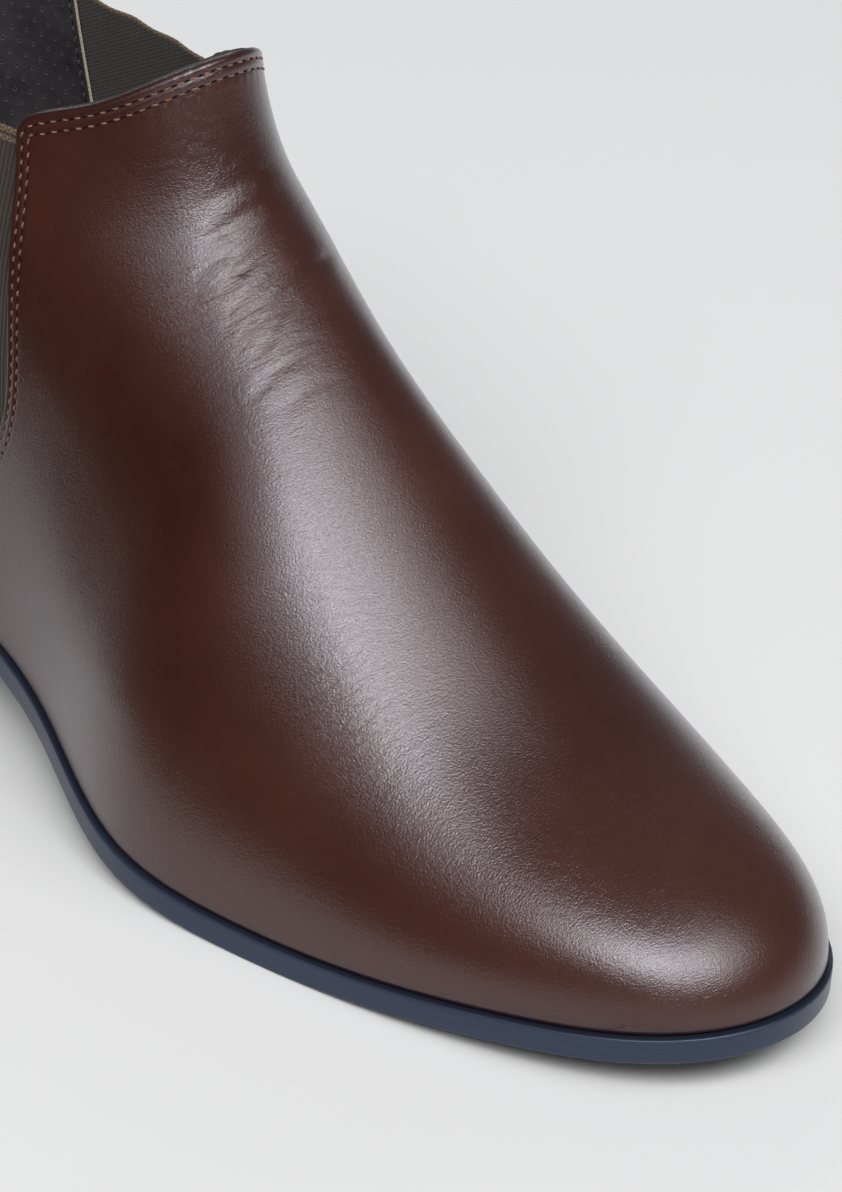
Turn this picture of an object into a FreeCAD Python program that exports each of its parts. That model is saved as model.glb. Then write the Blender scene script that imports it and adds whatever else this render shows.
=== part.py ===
import FreeCAD, Part
import math
import os
import Sketcher
from FreeCAD import Placement, Rotation, Vector

# Chelsea boot, right foot, real size in millimetres.
# A lasted leather upper with elastic side gores stands on a cemented sole with a stacked heel.
# Work frame: x = 0 at the back of the last and +x to the toe, y < 0 on the lateral side, z = 0 on the
# ground. At the end every sub-part is shifted so that the origin is under the middle of the sole.

# ---------------------------------------------------------------- driving dimensions
# Each offset is measured inwards from the outer face of the leather, each height upwards from the
# feather line, where the upper meets the sole.
SIZES = {
    "lastlength": 294.5,      # back of the last to the tip of the toe
    "solethick": 5.6,
    "solerim": 1.2,           # the sole stands out this far beyond the upper
    "leather": 1.3,           # outer leather
    "plygap": 0.15,           # glue line between two plies, or two layers of the bottom
    "stiffener": 0.9,         # gore elastic, toe puff and heel counter
    "lining": 0.8,
    "lastingmargin": 15.0,    # width of leather turned in under the insole
    "insolethick": 2.0,
    "padthick": 2.0,
    "sockthick": 0.8,
    "shankthick": 1.3,
    "shankwide": 14.0,
    "stockwide": 160.0,       # sheet stock, wider than the boot
    "breast": 72.0,           # front face of the heel
    "breastsag": 4.0,
    "toppiece": 6.4,
    "lift": 5.0,
    "heelstep": 0.6,          # the heel's uppermost layer steps in from the sole's rim
    "heeltaper": 0.3,         # and each layer below it steps in by this much more
    "nailradius": 1.1,
    "nailhead": 2.5,
    "nailheadthick": 0.6,
    "nailclear": 0.05,
    "bradradius": 0.8,
    "bradhead": 1.8,
    "bradlength": 9.0,
    "bradsink": 1.0,          # depth of the brad heads in the top piece
    "rivetradius": 1.5,
    "rivethead": 3.0,
    "rivetheadthick": 0.4,
    "bendheight": 66.0,       # the shaft's back bends here, just above the heel counter
    "goregrip": 7.0,          # width of elastic sewn under the leather
    "tabwide": 20.0,
    "tabply": 1.1,
    "tabdeep": 5.5,           # half depth of the pull loop
    "tabtall": 11.5,          # half height of the pull loop
    "tabfoot": 153.6,         # the loop stands just above the top line at the back
    "taboverlap": 27.0,       # height of webbing sewn between leather and lining
    "liftwaste": 2.0,         # extra height of the upper lift, cut to the curve of the sole
}

doc = FreeCAD.newDocument("chelsea_boot")
sheet = doc.addObject("Spreadsheet::Sheet", "sizes")
for row, (alias, number) in enumerate(SIZES.items(), start=1):
    sheet.set("A%d" % row, alias)
    sheet.set("B%d" % row, str(number))
    sheet.setAlias("B%d" % row, alias)
doc.recompute()


def size(alias):
    """A driving dimension, read back from the sheet."""
    return float(sheet.get(alias))


# ---------------------------------------------------------------- curves of the last
def spline(points):
    """Natural cubic through (x, y) points, straight beyond its ends."""
    xs = [p[0] for p in points]
    ys = [p[1] for p in points]
    last = len(xs) - 1
    gap = [xs[i + 1] - xs[i] for i in range(last)]
    slope = [(ys[i + 1] - ys[i]) / gap[i] for i in range(last)]
    bend = [0.0] * (last + 1)
    pivot = [1.0] * (last + 1)
    for i in range(1, last):
        pivot[i] = 2 * (gap[i - 1] + gap[i])
        bend[i] = 6 * (slope[i] - slope[i - 1])
        if i > 1:
            ratio = gap[i - 1] / pivot[i - 1]
            pivot[i] -= ratio * gap[i - 1]
            bend[i] -= ratio * bend[i - 1]
    for i in range(last - 1, 0, -1):
        bend[i] = (bend[i] - gap[i] * bend[i + 1]) / pivot[i]
    start = slope[0] - gap[0] * bend[1] / 6
    end = slope[-1] + gap[-1] * bend[-2] / 6

    def value(x):
        if x <= xs[0]:
            return ys[0] + (x - xs[0]) * start
        if x >= xs[-1]:
            return ys[-1] + (x - xs[-1]) * end
        i = 0
        while x > xs[i + 1]:
            i += 1
        a = (xs[i + 1] - x) / gap[i]
        b = 1 - a
        cubic = (a ** 3 - a) * bend[i] + (b ** 3 - b) * bend[i + 1]
        return a * ys[i] + b * ys[i + 1] + cubic * gap[i] ** 2 / 6
    return value


# Side view: heights along the boot, and the back wall's x by height.
feather = spline([(0, 27), (62, 26), (112, 19), (165, 8), (208, 5.75), (250, 9.5), (297, 16)])
crest = spline([(118, 181), (127, 148), (142, 123.5), (162, 106.5), (188, 83.5), (220, 57.5),
                (255, 43), (297, 42)])
back = spline([(7, 5), (27, 2), (57, 1), (87, 5), (117, 9), (147, 10), (172, 9)])
# Plan view: half widths of the feather line on each side of the centre curve.
lateral = spline([(0, 34), (40, 35), (80, 33), (120, 41.5), (160, 56.5), (190, 55), (220, 49.5),
                  (255, 42), (297, 39.5)])
medial = spline([(0, 34), (40, 35), (80, 31), (120, 30), (160, 39), (190, 45.5), (220, 49),
                 (255, 43), (297, 39)])
centre = spline([(0, 0), (100, 0), (200, 1.7), (297, 0.6)])
# Half width of the shaft by height, and how squarely each side's section is rounded.
shaft = spline([(27, 34), (117, 34), (147, 32), (177, 36)])
round_lateral = spline([(100, 1.9), (160, 1.9), (200, 2.0), (245, 2.2), (290, 2.4)])
round_medial = spline([(100, 2.0), (160, 2.1), (200, 2.17), (245, 2.4), (290, 2.57)])

TOE_RISE, TOE_RISE_POWER = 48.0, 2.33      # length and fullness of the toe in side view
TOE_TAPER, TOE_TAPER_POWER = 72.5, 2.77    # and in plan
CREST_ROUND, CREST_POWER = 73.0, 2.2       # the shaft's round towards the front crest
BACK_ROUND, BACK_POWER = 38.0, 2.3         # and towards the back wall
SHAFT_X = (180.0, 118.0)                   # where the foot's section turns into the shaft's
SHAFT_Z = (37.0, 92.0)
THROAT_TOP, BACK_TOP = 180.0, 168.0        # the shaft runs past the top line, then is trimmed
RINGS = 18
STEPS = 20                                 # points on each side of a ring
GROUND = -10.0                             # the skirts of the envelopes end below the ground
BEHIND, AHEAD, STATION = -18.0, 318.0, 12.0   # x range of the side-view outlines, and their spacing
ROOM = 400.0                               # blocks of this size are larger than the boot
SOLE_ENDS = (-6.0, 306.0)                  # x range of the bottom layers before they are trimmed


def clip(value):
    return max(0.0, min(1.0, value))


def smooth(start, end, x):
    share = clip((x - start) / (end - start))
    return share * share * (3 - 2 * share)


def rounded(share, power):
    """Rises from 0 at a closing edge to 1 inside."""
    return math.sqrt(1 - (1 - clip(share)) ** power)


def ridge(x):
    """Height of the upper's centre line, with the round of the toe."""
    share = clip((x - size("lastlength") + TOE_RISE) / TOE_RISE)
    low = feather(x)
    return low + (crest(x) - low) * math.sqrt(1 - share ** TOE_RISE_POWER)


def ridge_line():
    """The centre line from the toe's feather point up to the top of the shaft."""
    toe = size("lastlength")
    steps = 60
    xs = [toe - TOE_RISE * (1 - math.cos(i * math.pi / 2 / steps)) for i in range(steps)]
    while ridge(xs[-1]) < THROAT_TOP:
        xs.append(xs[-1] - 1.0)
    return [(x, ridge(x)) for x in xs]


RIDGE = ridge_line()


def front(z):
    """x of the centre line at a height."""
    for (x0, z0), (x1, z1) in zip(RIDGE, RIDGE[1:]):
        if z <= z1:
            return x0 + (x1 - x0) * (z - z0) / (z1 - z0)
    return RIDGE[-1][0]


def plan(x, side):
    share = clip((x - size("lastlength") + TOE_TAPER) / TOE_TAPER)
    width = lateral if side < 0 else medial
    return width(x) * math.sqrt(1 - share ** TOE_TAPER_POWER)


def half_width(x, z, side):
    """Half width of the upper: the lasted foot below, blended into the shaft above."""
    low = feather(x)
    rise = clip((z - low) / max(ridge(x) - low, 1e-6))
    power = round_lateral if side < 0 else round_medial
    foot = plan(x, side) * math.sqrt(1 - rise ** power(x))
    tube = shaft(z) * rounded((front(z) - x) / CREST_ROUND, CREST_POWER)
    mix = smooth(*SHAFT_X, x) * smooth(*SHAFT_Z, z)
    return ((1 - mix) * foot + mix * tube) * rounded((x - back(z)) / BACK_ROUND, BACK_POWER)


def ring(level):
    """A closed ring of points round the boot, from level 0 on the feather line to 1 at the top."""
    runs = [0.0]
    for (x0, z0), (x1, z1) in zip(RIDGE, RIDGE[1:]):
        runs.append(runs[-1] + math.hypot(x1 - x0, z1 - z0))
    goal = runs[-1] * level
    i = 0
    while i < len(runs) - 2 and runs[i + 1] < goal:
        i += 1
    share = (goal - runs[i]) / (runs[i + 1] - runs[i])
    front_x = RIDGE[i][0] + share * (RIDGE[i + 1][0] - RIDGE[i][0])
    front_z = RIDGE[i][1] + share * (RIDGE[i + 1][1] - RIDGE[i][1])
    heel_x, heel_z = back(feather(0)), feather(0)
    back_z = heel_z + (BACK_TOP - heel_z) * level
    toe = size("lastlength")
    points = []
    for step in range(2 * STEPS):
        along = (1 - math.cos(math.pi * step / STEPS)) / 2
        side = -1 if step <= STEPS else 1
        x = back(back_z) + along * (front_x - back(back_z))
        chord = heel_z + along * (feather(toe) - heel_z)
        sag = (chord - feather(heel_x + along * (toe - heel_x))) * (1 - level) ** 3
        z = back_z + along * (front_z - back_z) - sag
        points.append(Vector(x, centre(x) + side * half_width(x, z, side), z))
    return points


GRID = [ring((i / RINGS) ** 1.4) for i in range(RINGS + 1)]


def inward(row, step):
    """Unit normal at a point of the ring grid, pointing into the boot."""
    points = GRID[row]
    along = points[(step + 1) % len(points)] - points[step - 1]
    if row == 0:
        normal = Vector(0, 0, 1).cross(along)
    else:
        above = GRID[min(row + 1, RINGS)][step]
        normal = (above - GRID[row - 1][step]).cross(along)
    if row == RINGS:
        cap = (points[STEPS] - points[0]).cross(Vector(0, 1, 0)).normalize()
        normal = normal - cap * normal.dot(cap)
    return normal.normalize()


def envelope(offset):
    """Solid inside the upper's surface moved inwards, with straight walls down to below the ground."""
    count = 2 * STEPS
    knots = [i / count for i in range(count + 1)]
    curves = []
    for row in range(RINGS + 1):
        moved = [GRID[row][i] + inward(row, i) * offset for i in range(count)]
        curve = Part.BSplineCurve()
        curve.interpolate(Points=moved, PeriodicFlag=True, Parameters=knots)
        curves.append(curve)
    tube = Part.makeLoft([Part.Wire(curve.toShape()) for curve in curves], False)
    foot = curves[0].copy()
    for i in range(1, foot.NbPoles + 1):
        pole = foot.getPole(i)
        foot.setPole(i, Vector(pole.x, pole.y, GROUND))
    skirt = Part.makeRuledSurface(foot.toShape(), curves[0].toShape())
    caps = [Part.Face(Part.Wire(curve.toShape())) for curve in (foot, curves[-1])]
    shell = Part.makeShell(tube.Faces + skirt.Faces + caps)
    shell.sewShape()
    solid = Part.makeSolid(shell)
    if solid.Volume < 0:
        solid.reverse()
    return solid


# ---------------------------------------------------------------- outlines
def through(points, closed=False):
    """Smooth curve through points of a side view (x, z) or plan (x, y)."""
    curve = Part.BSplineCurve()
    curve.interpolate(Points=[Vector(*p) for p in points], PeriodicFlag=closed)
    return curve


def feather_points(rise, start, end):
    """Points of the feather line between two x, raised by a number or by a function of x.

    The points between the ends are at fixed stations, so that neighbouring layers run parallel.
    """
    low, high = min(start, end), max(start, end)
    count = round((AHEAD - BEHIND) / STATION)
    stations = [BEHIND + i * STATION for i in range(count + 1)]
    xs = [low] + [x for x in stations if low + 1 < x < high - 1] + [high]
    if start > end:
        xs.reverse()
    return [(x, feather(x) + (rise(x) if callable(rise) else rise)) for x in xs]


def sole_points(inset, start=0.0, end=1.0, count=20):
    """Plan points of the feather outline moved inwards, lateral side first, between two shares."""
    heel = back(feather(0))
    toe = size("lastlength")

    def at(angle):
        x = heel + (toe - heel) * (1 - math.cos(angle)) / 2
        side = -1 if angle <= math.pi else 1
        edge = rounded((x - heel) / BACK_ROUND, BACK_POWER)
        return Vector(x, centre(x) + side * plan(x, side) * edge, 0)
    points = []
    for i in range(count + 1):
        angle = 2 * math.pi * (start + (end - start) * i / count)
        tiny = 0.01
        along = at((angle + tiny) % (2 * math.pi)) - at((angle - tiny) % (2 * math.pi))
        point = at(angle % (2 * math.pi)) + Vector(-along.y, along.x, 0).normalize() * inset
        points.append((point.x, point.y))
    return points


def sole_outline(inset):
    """Closed plan outline of the feather line moved inwards."""
    count = 44
    return through([Vector(x, y, 0) for x, y in sole_points(inset, count=count)[:-1]], closed=True)


def side_edge(points):
    """Edge of a side-view outline in the plane y = 0; two points are a straight line."""
    spots = [Vector(x, 0, z) for x, z in points]
    if len(spots) == 2:
        return Part.makeLine(*spots)
    return through(spots).toShape()


def side_prism(*runs):
    """Solid across the whole boot from a closed side-view outline, given as runs that share ends."""
    wire = Part.Wire([side_edge(run) for run in runs])
    prism = Part.Face(wire).extrude(Vector(0, size("stockwide"), 0))
    prism.translate(Vector(0, -size("stockwide") / 2, 0))
    return prism


# Gore: the leather's edges round the elastic, from the front corner down and up to the back corner.
GORE_FRONT = [(92, 139), (95.5, 118), (98, 98), (97, 76), (84, 54)]
GORE_BACK = [(84, 54), (66, 64), (55, 88), (49, 116), (45, 138)]
GORE_TOP = 139.0
# Seam between front and back leather, from the gore's lowest point down to the sole.
SEAM = [(84, 54), (72, 42), (62, 29), (58, 0)]
# Top lines, with the rounded corners beside the gore; both run on past the boot's surface.
FRONT_TOP = [(92, 139), (93.5, 142), (97, 144.3), (108, 149), (118, 155.5), (132, 166)]
BACK_TOP_LINE = [(45, 138), (42, 142), (36, 143.5), (22, 147.5), (8, 152.5), (-12, 160)]
# Stiffeners: the rear edge of the toe puff, and the upper edge of the heel counter.
PUFF_EDGE = 238.0
COUNTER_EDGE = [(-20, 62), (14, 61), (38, 53), (54, 40), (60, 0)]
TAB_X = 12.0                               # the pull loop stands over the back seam


def shifted(points, dx, dz=0.0):
    return [(x + dx, z + dz) for x, z in points]


def front_region(rise):
    """Side-view region of the front leather, from the feather line raised by rise."""
    foot = feather_points(rise, AHEAD, SEAM[-1][0])
    seam = SEAM[:3] + [foot[-1]]
    top = FRONT_TOP[-1]
    corner = (AHEAD, top[1])
    return side_prism(FRONT_TOP, [top, corner], [corner, foot[0]], foot, seam[::-1],
                      GORE_FRONT[::-1])


def back_region(rise):
    """Side-view region of the back leather, one glue line behind the front leather's seam."""
    gap = size("plygap")
    foot = feather_points(rise, SEAM[-1][0] - gap, BEHIND)
    seam = shifted(SEAM[:3], -gap) + [foot[0]]
    gore = shifted(GORE_BACK, -gap)
    top = shifted(BACK_TOP_LINE, -gap)
    corner = (top[-1][0], foot[-1][1])
    return side_prism(seam, foot, [foot[-1], corner], [corner, top[-1]], top[::-1], gore[::-1])


def half_space(side):
    """Block on one side of the boot's centre plane."""
    block = Part.makeBox(2 * ROOM, ROOM, 2 * ROOM, Vector(-ROOM, 0, -ROOM))
    if side < 0:
        block.translate(Vector(0, -ROOM, 0))
    return block


def above(z):
    return Part.makeBox(2 * ROOM, 2 * ROOM, ROOM, Vector(-ROOM, -ROOM, z))


def below(z):
    return Part.makeBox(2 * ROOM, 2 * ROOM, ROOM, Vector(-ROOM, -ROOM, z - ROOM))


def above_feather(rise):
    """Everything above the feather line raised by rise."""
    low = feather_points(rise, BEHIND, AHEAD)
    front_top, back_top = (AHEAD, THROAT_TOP + 20), (BEHIND, THROAT_TOP + 20)
    return side_prism(low, [low[-1], front_top], [front_top, back_top], [back_top, low[0]])


# ---------------------------------------------------------------- sub-parts
pieces = []


def keep(thing, label):
    """Name a finished sub-part; its label is its file's name."""
    thing.Label = label
    pieces.append(thing)
    return thing


def feature(label, shape):
    """Sub-part whose shape is worked out from the sheet's sizes with Part's functions."""
    thing = doc.addObject("Part::Feature", label)
    thing.Shape = shape
    return keep(thing, label)


def origin_plane(body, role):
    return next(f for f in body.Origin.OriginFeatures if f.Role == role)


def sketch_on(body, role, name, edges):
    sketch = body.newObject("Sketcher::SketchObject", name)
    sketch.AttachmentSupport = [(origin_plane(body, role), "")]
    sketch.MapMode = "FlatFace"
    for edge in edges:
        sketch.addGeometry(edge, False)
    return sketch


def flat_curve(points):
    """Edge of a sketch through (u, v) points; two points are a straight line."""
    spots = [Vector(u, v, 0) for u, v in points]
    if len(spots) == 2:
        return Part.LineSegment(*spots)
    return through(spots)


def pad_across(body, name, edges, width):
    """Pad a side-view sketch to both sides of the centre plane; width is a sheet alias."""
    sketch = sketch_on(body, "XZ_Plane", name + "_profile", edges)
    pad = body.newObject("PartDesign::Pad", name + "_pad")
    pad.Profile = sketch
    pad.setExpression("Length", "sizes." + width)
    pad.Midplane = True
    sketch.Visibility = False
    doc.recompute()
    return pad


def pocket_plan(body, name, edges):
    """Cut a plan sketch right through, up and down."""
    sketch = sketch_on(body, "XY_Plane", name + "_plan", edges)
    pocket = body.newObject("PartDesign::Pocket", name + "_cut")
    pocket.Profile = sketch
    pocket.Type = "ThroughAll"
    pocket.Midplane = True
    before = body.Shape.Volume
    doc.recompute()
    assert body.Shape.Volume < before, name + " cut nothing"
    return pocket


def frame_edges():
    """Rectangle outside every outline, which turns an outline into what is cut away."""
    corners = [(-ROOM, -ROOM), (ROOM, -ROOM), (ROOM, ROOM), (-ROOM, ROOM)]
    return [flat_curve([corners[i], corners[(i + 1) % 4]]) for i in range(4)]


def round_holes(body, name, spots, radius, low=None, deep=None):
    """Holes at plan positions, with one radius bound to the sheet's sizes.

    They go right through, or up from the height low, all the way or by the expression deep.
    """
    circles = [Part.Circle(Vector(x, y, 0), Vector(0, 0, 1), 1.0) for x, y in spots]
    sketch = sketch_on(body, "XY_Plane", name + "_holes", circles)
    for i in range(len(spots)):
        index = sketch.addConstraint(Sketcher.Constraint("Radius", i, 1.0))
        sketch.setExpression("Constraints[%d]" % index, radius)
    pocket = body.newObject("PartDesign::Pocket", name + "_drill")
    pocket.Profile = sketch
    pocket.Type = "ThroughAll"
    if low is None:
        pocket.Midplane = True
    else:
        sketch.AttachmentOffset = Placement(Vector(0, 0, low), Rotation())
        pocket.Reversed = True
    if deep:
        pocket.Type = "Length"
        pocket.setExpression("Length", deep)
    faces = len(body.Shape.Faces)
    doc.recompute()
    assert len(body.Shape.Faces) >= faces + len(spots), name + " holes missed"
    return pocket


def layer(label, low, high, start, end, inset):
    """Bottom layer that follows the feather line between two rises, trimmed to a plan outline."""
    body = doc.addObject("PartDesign::Body", label)
    under = feather_points(low, start, end)
    over = feather_points(high, end, start)
    edges = [flat_curve(run) for run in (under, [under[-1], over[0]], over, [over[-1], under[0]])]
    pad_across(body, label, edges, "stockwide")
    pocket_plan(body, label, frame_edges() + [sole_outline(inset)])
    return keep(body, label)


# Plan positions: nails down through the heel, brads up through the top piece, rivets of the shank.
NAILS = [(22, 0), (28, 11), (28, -11), (46, 12), (46, -12)]
BRADS = [(13, 0), (24, 20), (24, -20), (58, 20), (58, -20)]
RIVETS = [(64, 0), (118, 0)]
NAIL_HOLE = "sizes.nailradius + sizes.nailclear"

leather = size("leather")
gap = size("plygap")
mid_outer = leather + gap
mid_inner = mid_outer + size("stiffener")
lining_outer = mid_inner + gap
lining_inner = lining_outer + size("lining")
inside = lining_inner + gap
leather_floor = gap
lining_floor = leather_floor + leather + gap
insole_low = lining_floor + size("lining") + gap
insole_high = insole_low + size("insolethick")
pad_low = insole_high + gap
INSOLE_INSET = inside + 0.8       # the toe's wall leans in above the feather line
SOCK_INSET = inside + 1.4
PAD_END = 90.0                    # front end of the heel pad
PAD_RAMP = (102.0, 66.0)          # the pad thins out between these x
SHANK_LOW = 0.3                   # underside of the shank above the feather line
SHANK_ENDS = (54.0, 128.0)
SEAT_FRONT, SEAT_TOP = 120.0, 60.0  # the cut for the sole in the upper lift runs past the lift
NAIL_SINK, RIVET_SINK = 0.1, 0.5  # depth of the heads below the insole's upper face
NAIL_STOP = 1.5                   # the nails end this far above the top piece
RIVET_STOP = 1.1                  # the rivets end this far short of the insole's thickness
SEAT_DEEP = 1.0                   # depth of the round seats of the heads in the insole
BRAD_SEAT_EXTRA = 0.65            # the brads' seats are deeper than their heads reach
SPRING_GAP = 0.3                  # clearance where the shaft's back bends
CORK_START = 134.0                # the cork fills the forepart in front of the shank


def outsole():
    rim = -size("solerim")
    body = layer("outsole", -size("solethick"), 0.0, *SOLE_ENDS, rim)
    round_holes(body, "outsole", NAILS, NAIL_HOLE)


def heel_plan(inset):
    """Plan outline of a heel layer: round the back of the sole, closed by the hollow breast."""
    breast = size("breast")
    heel = back(feather(0))
    share = math.acos(1 - 2 * (breast - heel) / (size("lastlength") - heel)) / (2 * math.pi)
    rim = sole_points(inset - size("solerim"), -share, share, 16)
    middle = (breast - size("breastsag"), (rim[0][1] + rim[-1][1]) / 2)
    hollow = Part.Arc(Vector(*rim[-1], 0), Vector(*middle, 0), Vector(*rim[0], 0))
    return [through([Vector(x, y, 0) for x, y in rim]), hollow]


def heel_layer(label, order, height, base):
    """One layer of the heel, counted from the top, with its thickness and base from the sheet."""
    body = doc.addObject("PartDesign::Body", label)
    inset = size("heelstep") + order * size("heeltaper")
    sketch = sketch_on(body, "XY_Plane", label + "_plan", heel_plan(inset))
    sketch.setExpression("AttachmentOffset.Base.z", base)
    pad = body.newObject("PartDesign::Pad", label + "_pad")
    pad.Profile = sketch
    pad.setExpression("Length", height)
    doc.recompute()
    return body


def heel():
    lifts = [("heel_lift_upper", 0, 2), ("heel_lift_middle", 1, 1), ("heel_lift_lower", 2, 0)]
    for label, order, below in lifts:
        height = "sizes.lift" if order else "sizes.lift + sizes.liftwaste"
        body = heel_layer(label, order, height, "sizes.toppiece + %d * sizes.lift" % below)
        if order == 0:
            under = feather_points(-size("solethick") - size("plygap"), BEHIND, SEAT_FRONT)
            front_top, back_top = (SEAT_FRONT, SEAT_TOP), (BEHIND, SEAT_TOP)
            box = [[under[-1], front_top], [front_top, back_top], [back_top, under[0]]]
            profile = [flat_curve(run) for run in [under] + box]
            sketch = sketch_on(body, "XZ_Plane", "seat_profile", profile)
            seat = body.newObject("PartDesign::Pocket", "seat")
            seat.Profile = sketch
            seat.Type = "ThroughAll"
            seat.Midplane = True
            doc.recompute()
        round_holes(body, label, NAILS, NAIL_HOLE)
        if order == 2:
            round_holes(body, label + "_brad", BRADS, "sizes.bradradius + sizes.nailclear")
        keep(body, label)
    body = heel_layer("top_piece", 3, "sizes.toppiece", "0")
    round_holes(body, "top_piece", BRADS, "sizes.bradradius + sizes.nailclear")
    round_holes(body, "brad_seat", BRADS, "sizes.bradhead + sizes.nailclear", 0.0,
                "sizes.bradsink + %s" % BRAD_SEAT_EXTRA)
    keep(body, "top_piece")


def pin(name, kind, length, head_thick, place):
    """Round nail: a cylinder with a flat head at its upper end, hanging down from place."""
    shank = doc.addObject("Part::Cylinder", name + "_shank")
    shank.setExpression("Radius", "sizes.%sradius" % kind)
    shank.Height = length
    shank.Placement = Placement(Vector(0, 0, -length), Rotation())
    cap = doc.addObject("Part::Cylinder", name + "_head")
    cap.setExpression("Radius", "sizes.%shead" % kind)
    cap.setExpression("Height", "sizes." + head_thick)
    cap.Placement = Placement(Vector(0, 0, -size(head_thick)), Rotation())
    nail = doc.addObject("Part::MultiFuse", name)
    nail.Shapes = [shank, cap]
    nail.Placement = place
    return nail


def group(label, things):
    compound = doc.addObject("Part::Compound", label)
    compound.Links = things
    doc.recompute()
    return keep(compound, label)


def nails():
    """Heel nails driven down through insole and sole, and brads up through the top piece."""
    nails_down = []
    for i, (x, y) in enumerate(NAILS):
        top = feather(x) + insole_high - NAIL_SINK
        tip = size("toppiece") + NAIL_STOP
        place = Placement(Vector(x, y, top), Rotation())
        nails_down.append(pin("nail%d" % i, "nail", top - tip, "nailheadthick", place))
    group("heel_nails", nails_down)
    upside_down = Rotation(Vector(1, 0, 0), 180)
    brads_up = []
    for i, (x, y) in enumerate(BRADS):
        place = Placement(Vector(x, y, size("bradsink")), upside_down)
        brads_up.append(pin("brad%d" % i, "brad", size("bradlength"), "nailheadthick", place))
    group("top_piece_nails", brads_up)
    rivets = []
    for i, (x, y) in enumerate(RIVETS):
        top = feather(x) + insole_high - RIVET_SINK
        place = Placement(Vector(x, y, top), Rotation())
        length = insole_high - RIVET_STOP
        rivets.append(pin("rivet%d" % i, "rivet", length, "rivetheadthick", place))
    group("shank_rivets", rivets)


def insole():
    body = layer("insole", insole_low, insole_high, *SOLE_ENDS, INSOLE_INSET)
    round_holes(body, "insole", NAILS, NAIL_HOLE)
    round_holes(body, "insole_rivet", RIVETS, "sizes.rivetradius + sizes.nailclear")
    for name, spots, radius in (("nail_seat", NAILS, "nailhead"), ("rivet_seat", RIVETS, "rivethead")):
        low = min(feather(x) for x, _ in spots) + insole_high - SEAT_DEEP
        round_holes(body, name, spots, "sizes.%s + sizes.nailclear" % radius, low)


def pad_rise(x):
    """The sock liner steps up over the heel pad with a soft ramp."""
    return size("padthick") * smooth(*PAD_RAMP, x)


def inner_bottom():
    """Steel shank, cork filler, heel pad and sock liner."""
    shank = doc.addObject("PartDesign::Body", "shank")
    low = feather_points(SHANK_LOW, *SHANK_ENDS)
    high = feather_points(SHANK_LOW + size("shankthick"), *SHANK_ENDS[::-1])
    runs = (low, [low[-1], high[0]], high, [high[-1], low[0]])
    pad_across(shank, "shank", [flat_curve(run) for run in runs], "shankwide")
    round_holes(shank, "shank", RIVETS, "sizes.rivetradius + sizes.nailclear")
    keep(shank, "shank")
    hole = size("lastingmargin") + 2 * gap + lining_outer
    layer("cork_filler", gap, insole_low - gap, CORK_START, SOLE_ENDS[1], hole)
    layer("heel_pad", pad_low, lambda x: pad_low + pad_rise(x), SOLE_ENDS[0], PAD_END, inside + 4)
    sock_low = pad_low + gap
    layer("sock_liner", lambda x: sock_low + pad_rise(x),
          lambda x: sock_low + pad_rise(x) + size("sockthick"), *SOLE_ENDS, SOCK_INSET)


# ---------------------------------------------------------------- upper
outer_faces = {}


def skin(offset):
    """Envelope at an offset, made once."""
    if offset not in outer_faces:
        outer_faces[offset] = envelope(offset)
    return outer_faces[offset]


def lasted(outer, inner, floor, thick):
    """Shell between two offsets whose foot turns in under the insole as the lasting margin."""
    hollow = skin(inner).common(above_feather(floor + thick))
    window = Part.Face(Part.Wire(sole_outline(outer + size("lastingmargin")).toShape()))
    window.translate(Vector(0, 0, GROUND))
    window = window.extrude(Vector(0, 0, 60)).cut(above_feather(floor + thick + 6))
    return skin(outer).cut(hollow).cut(window)


def upper():
    """Front leather, back leather, their linings, stiffeners and gores."""
    bend = size("bendheight")
    plies = (("vamp", "quarter", 0.0, leather, leather_floor),
             ("vamp_lining", "quarter_lining", lining_outer, lining_inner, lining_floor))
    for front_name, back_name, outer, inner, floor in plies:
        ply = lasted(outer, inner, floor, inner - outer)
        feature(front_name, ply.common(front_region(floor)))
        quarter = ply.common(back_region(floor))
        feature(back_name + "_lower", quarter.common(below(bend)))
        feature(back_name + "_upper", quarter.common(above(bend + SPRING_GAP)))
    middle = skin(mid_outer).cut(skin(mid_inner))
    grip = size("goregrip")
    lowest = (84, 54 - grip)
    flank = (66 - grip, 64 - 0.6 * grip)
    front_edge = shifted(GORE_FRONT[:-1], grip, 0)
    back_edge = shifted(GORE_BACK[2:], -grip, 0)
    top = GORE_TOP - 0.4
    front_edge[0] = (front_edge[0][0], top)
    back_edge[-1] = (back_edge[-1][0], top)
    gore = side_prism(front_edge + [lowest], [lowest, flank] + back_edge,
                      [back_edge[-1], front_edge[0]])
    ring_of_elastic = middle.common(gore)
    feature("gore_lateral", ring_of_elastic.common(half_space(-1)))
    feature("gore_medial", ring_of_elastic.common(half_space(1)))
    foot = middle.common(above_feather(insole_low))
    toe_box = Part.makeBox(ROOM, 2 * ROOM, ROOM, Vector(PUFF_EDGE, -ROOM, 0))
    feature("toe_puff", foot.common(toe_box))
    corner = (COUNTER_EDGE[0][0], 0)
    cup = side_prism(COUNTER_EDGE, [COUNTER_EDGE[-1], corner], [corner, COUNTER_EDGE[0]])
    feature("heel_counter", foot.common(cup))
    wide = size("tabwide")
    low = size("tabfoot") - size("taboverlap")
    anchor = Part.makeBox(2 * wide, wide, ROOM, Vector(0, -wide / 2, low))
    feature("pull_tab_anchor", middle.common(anchor).common(back_region(leather_floor)))


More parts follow.
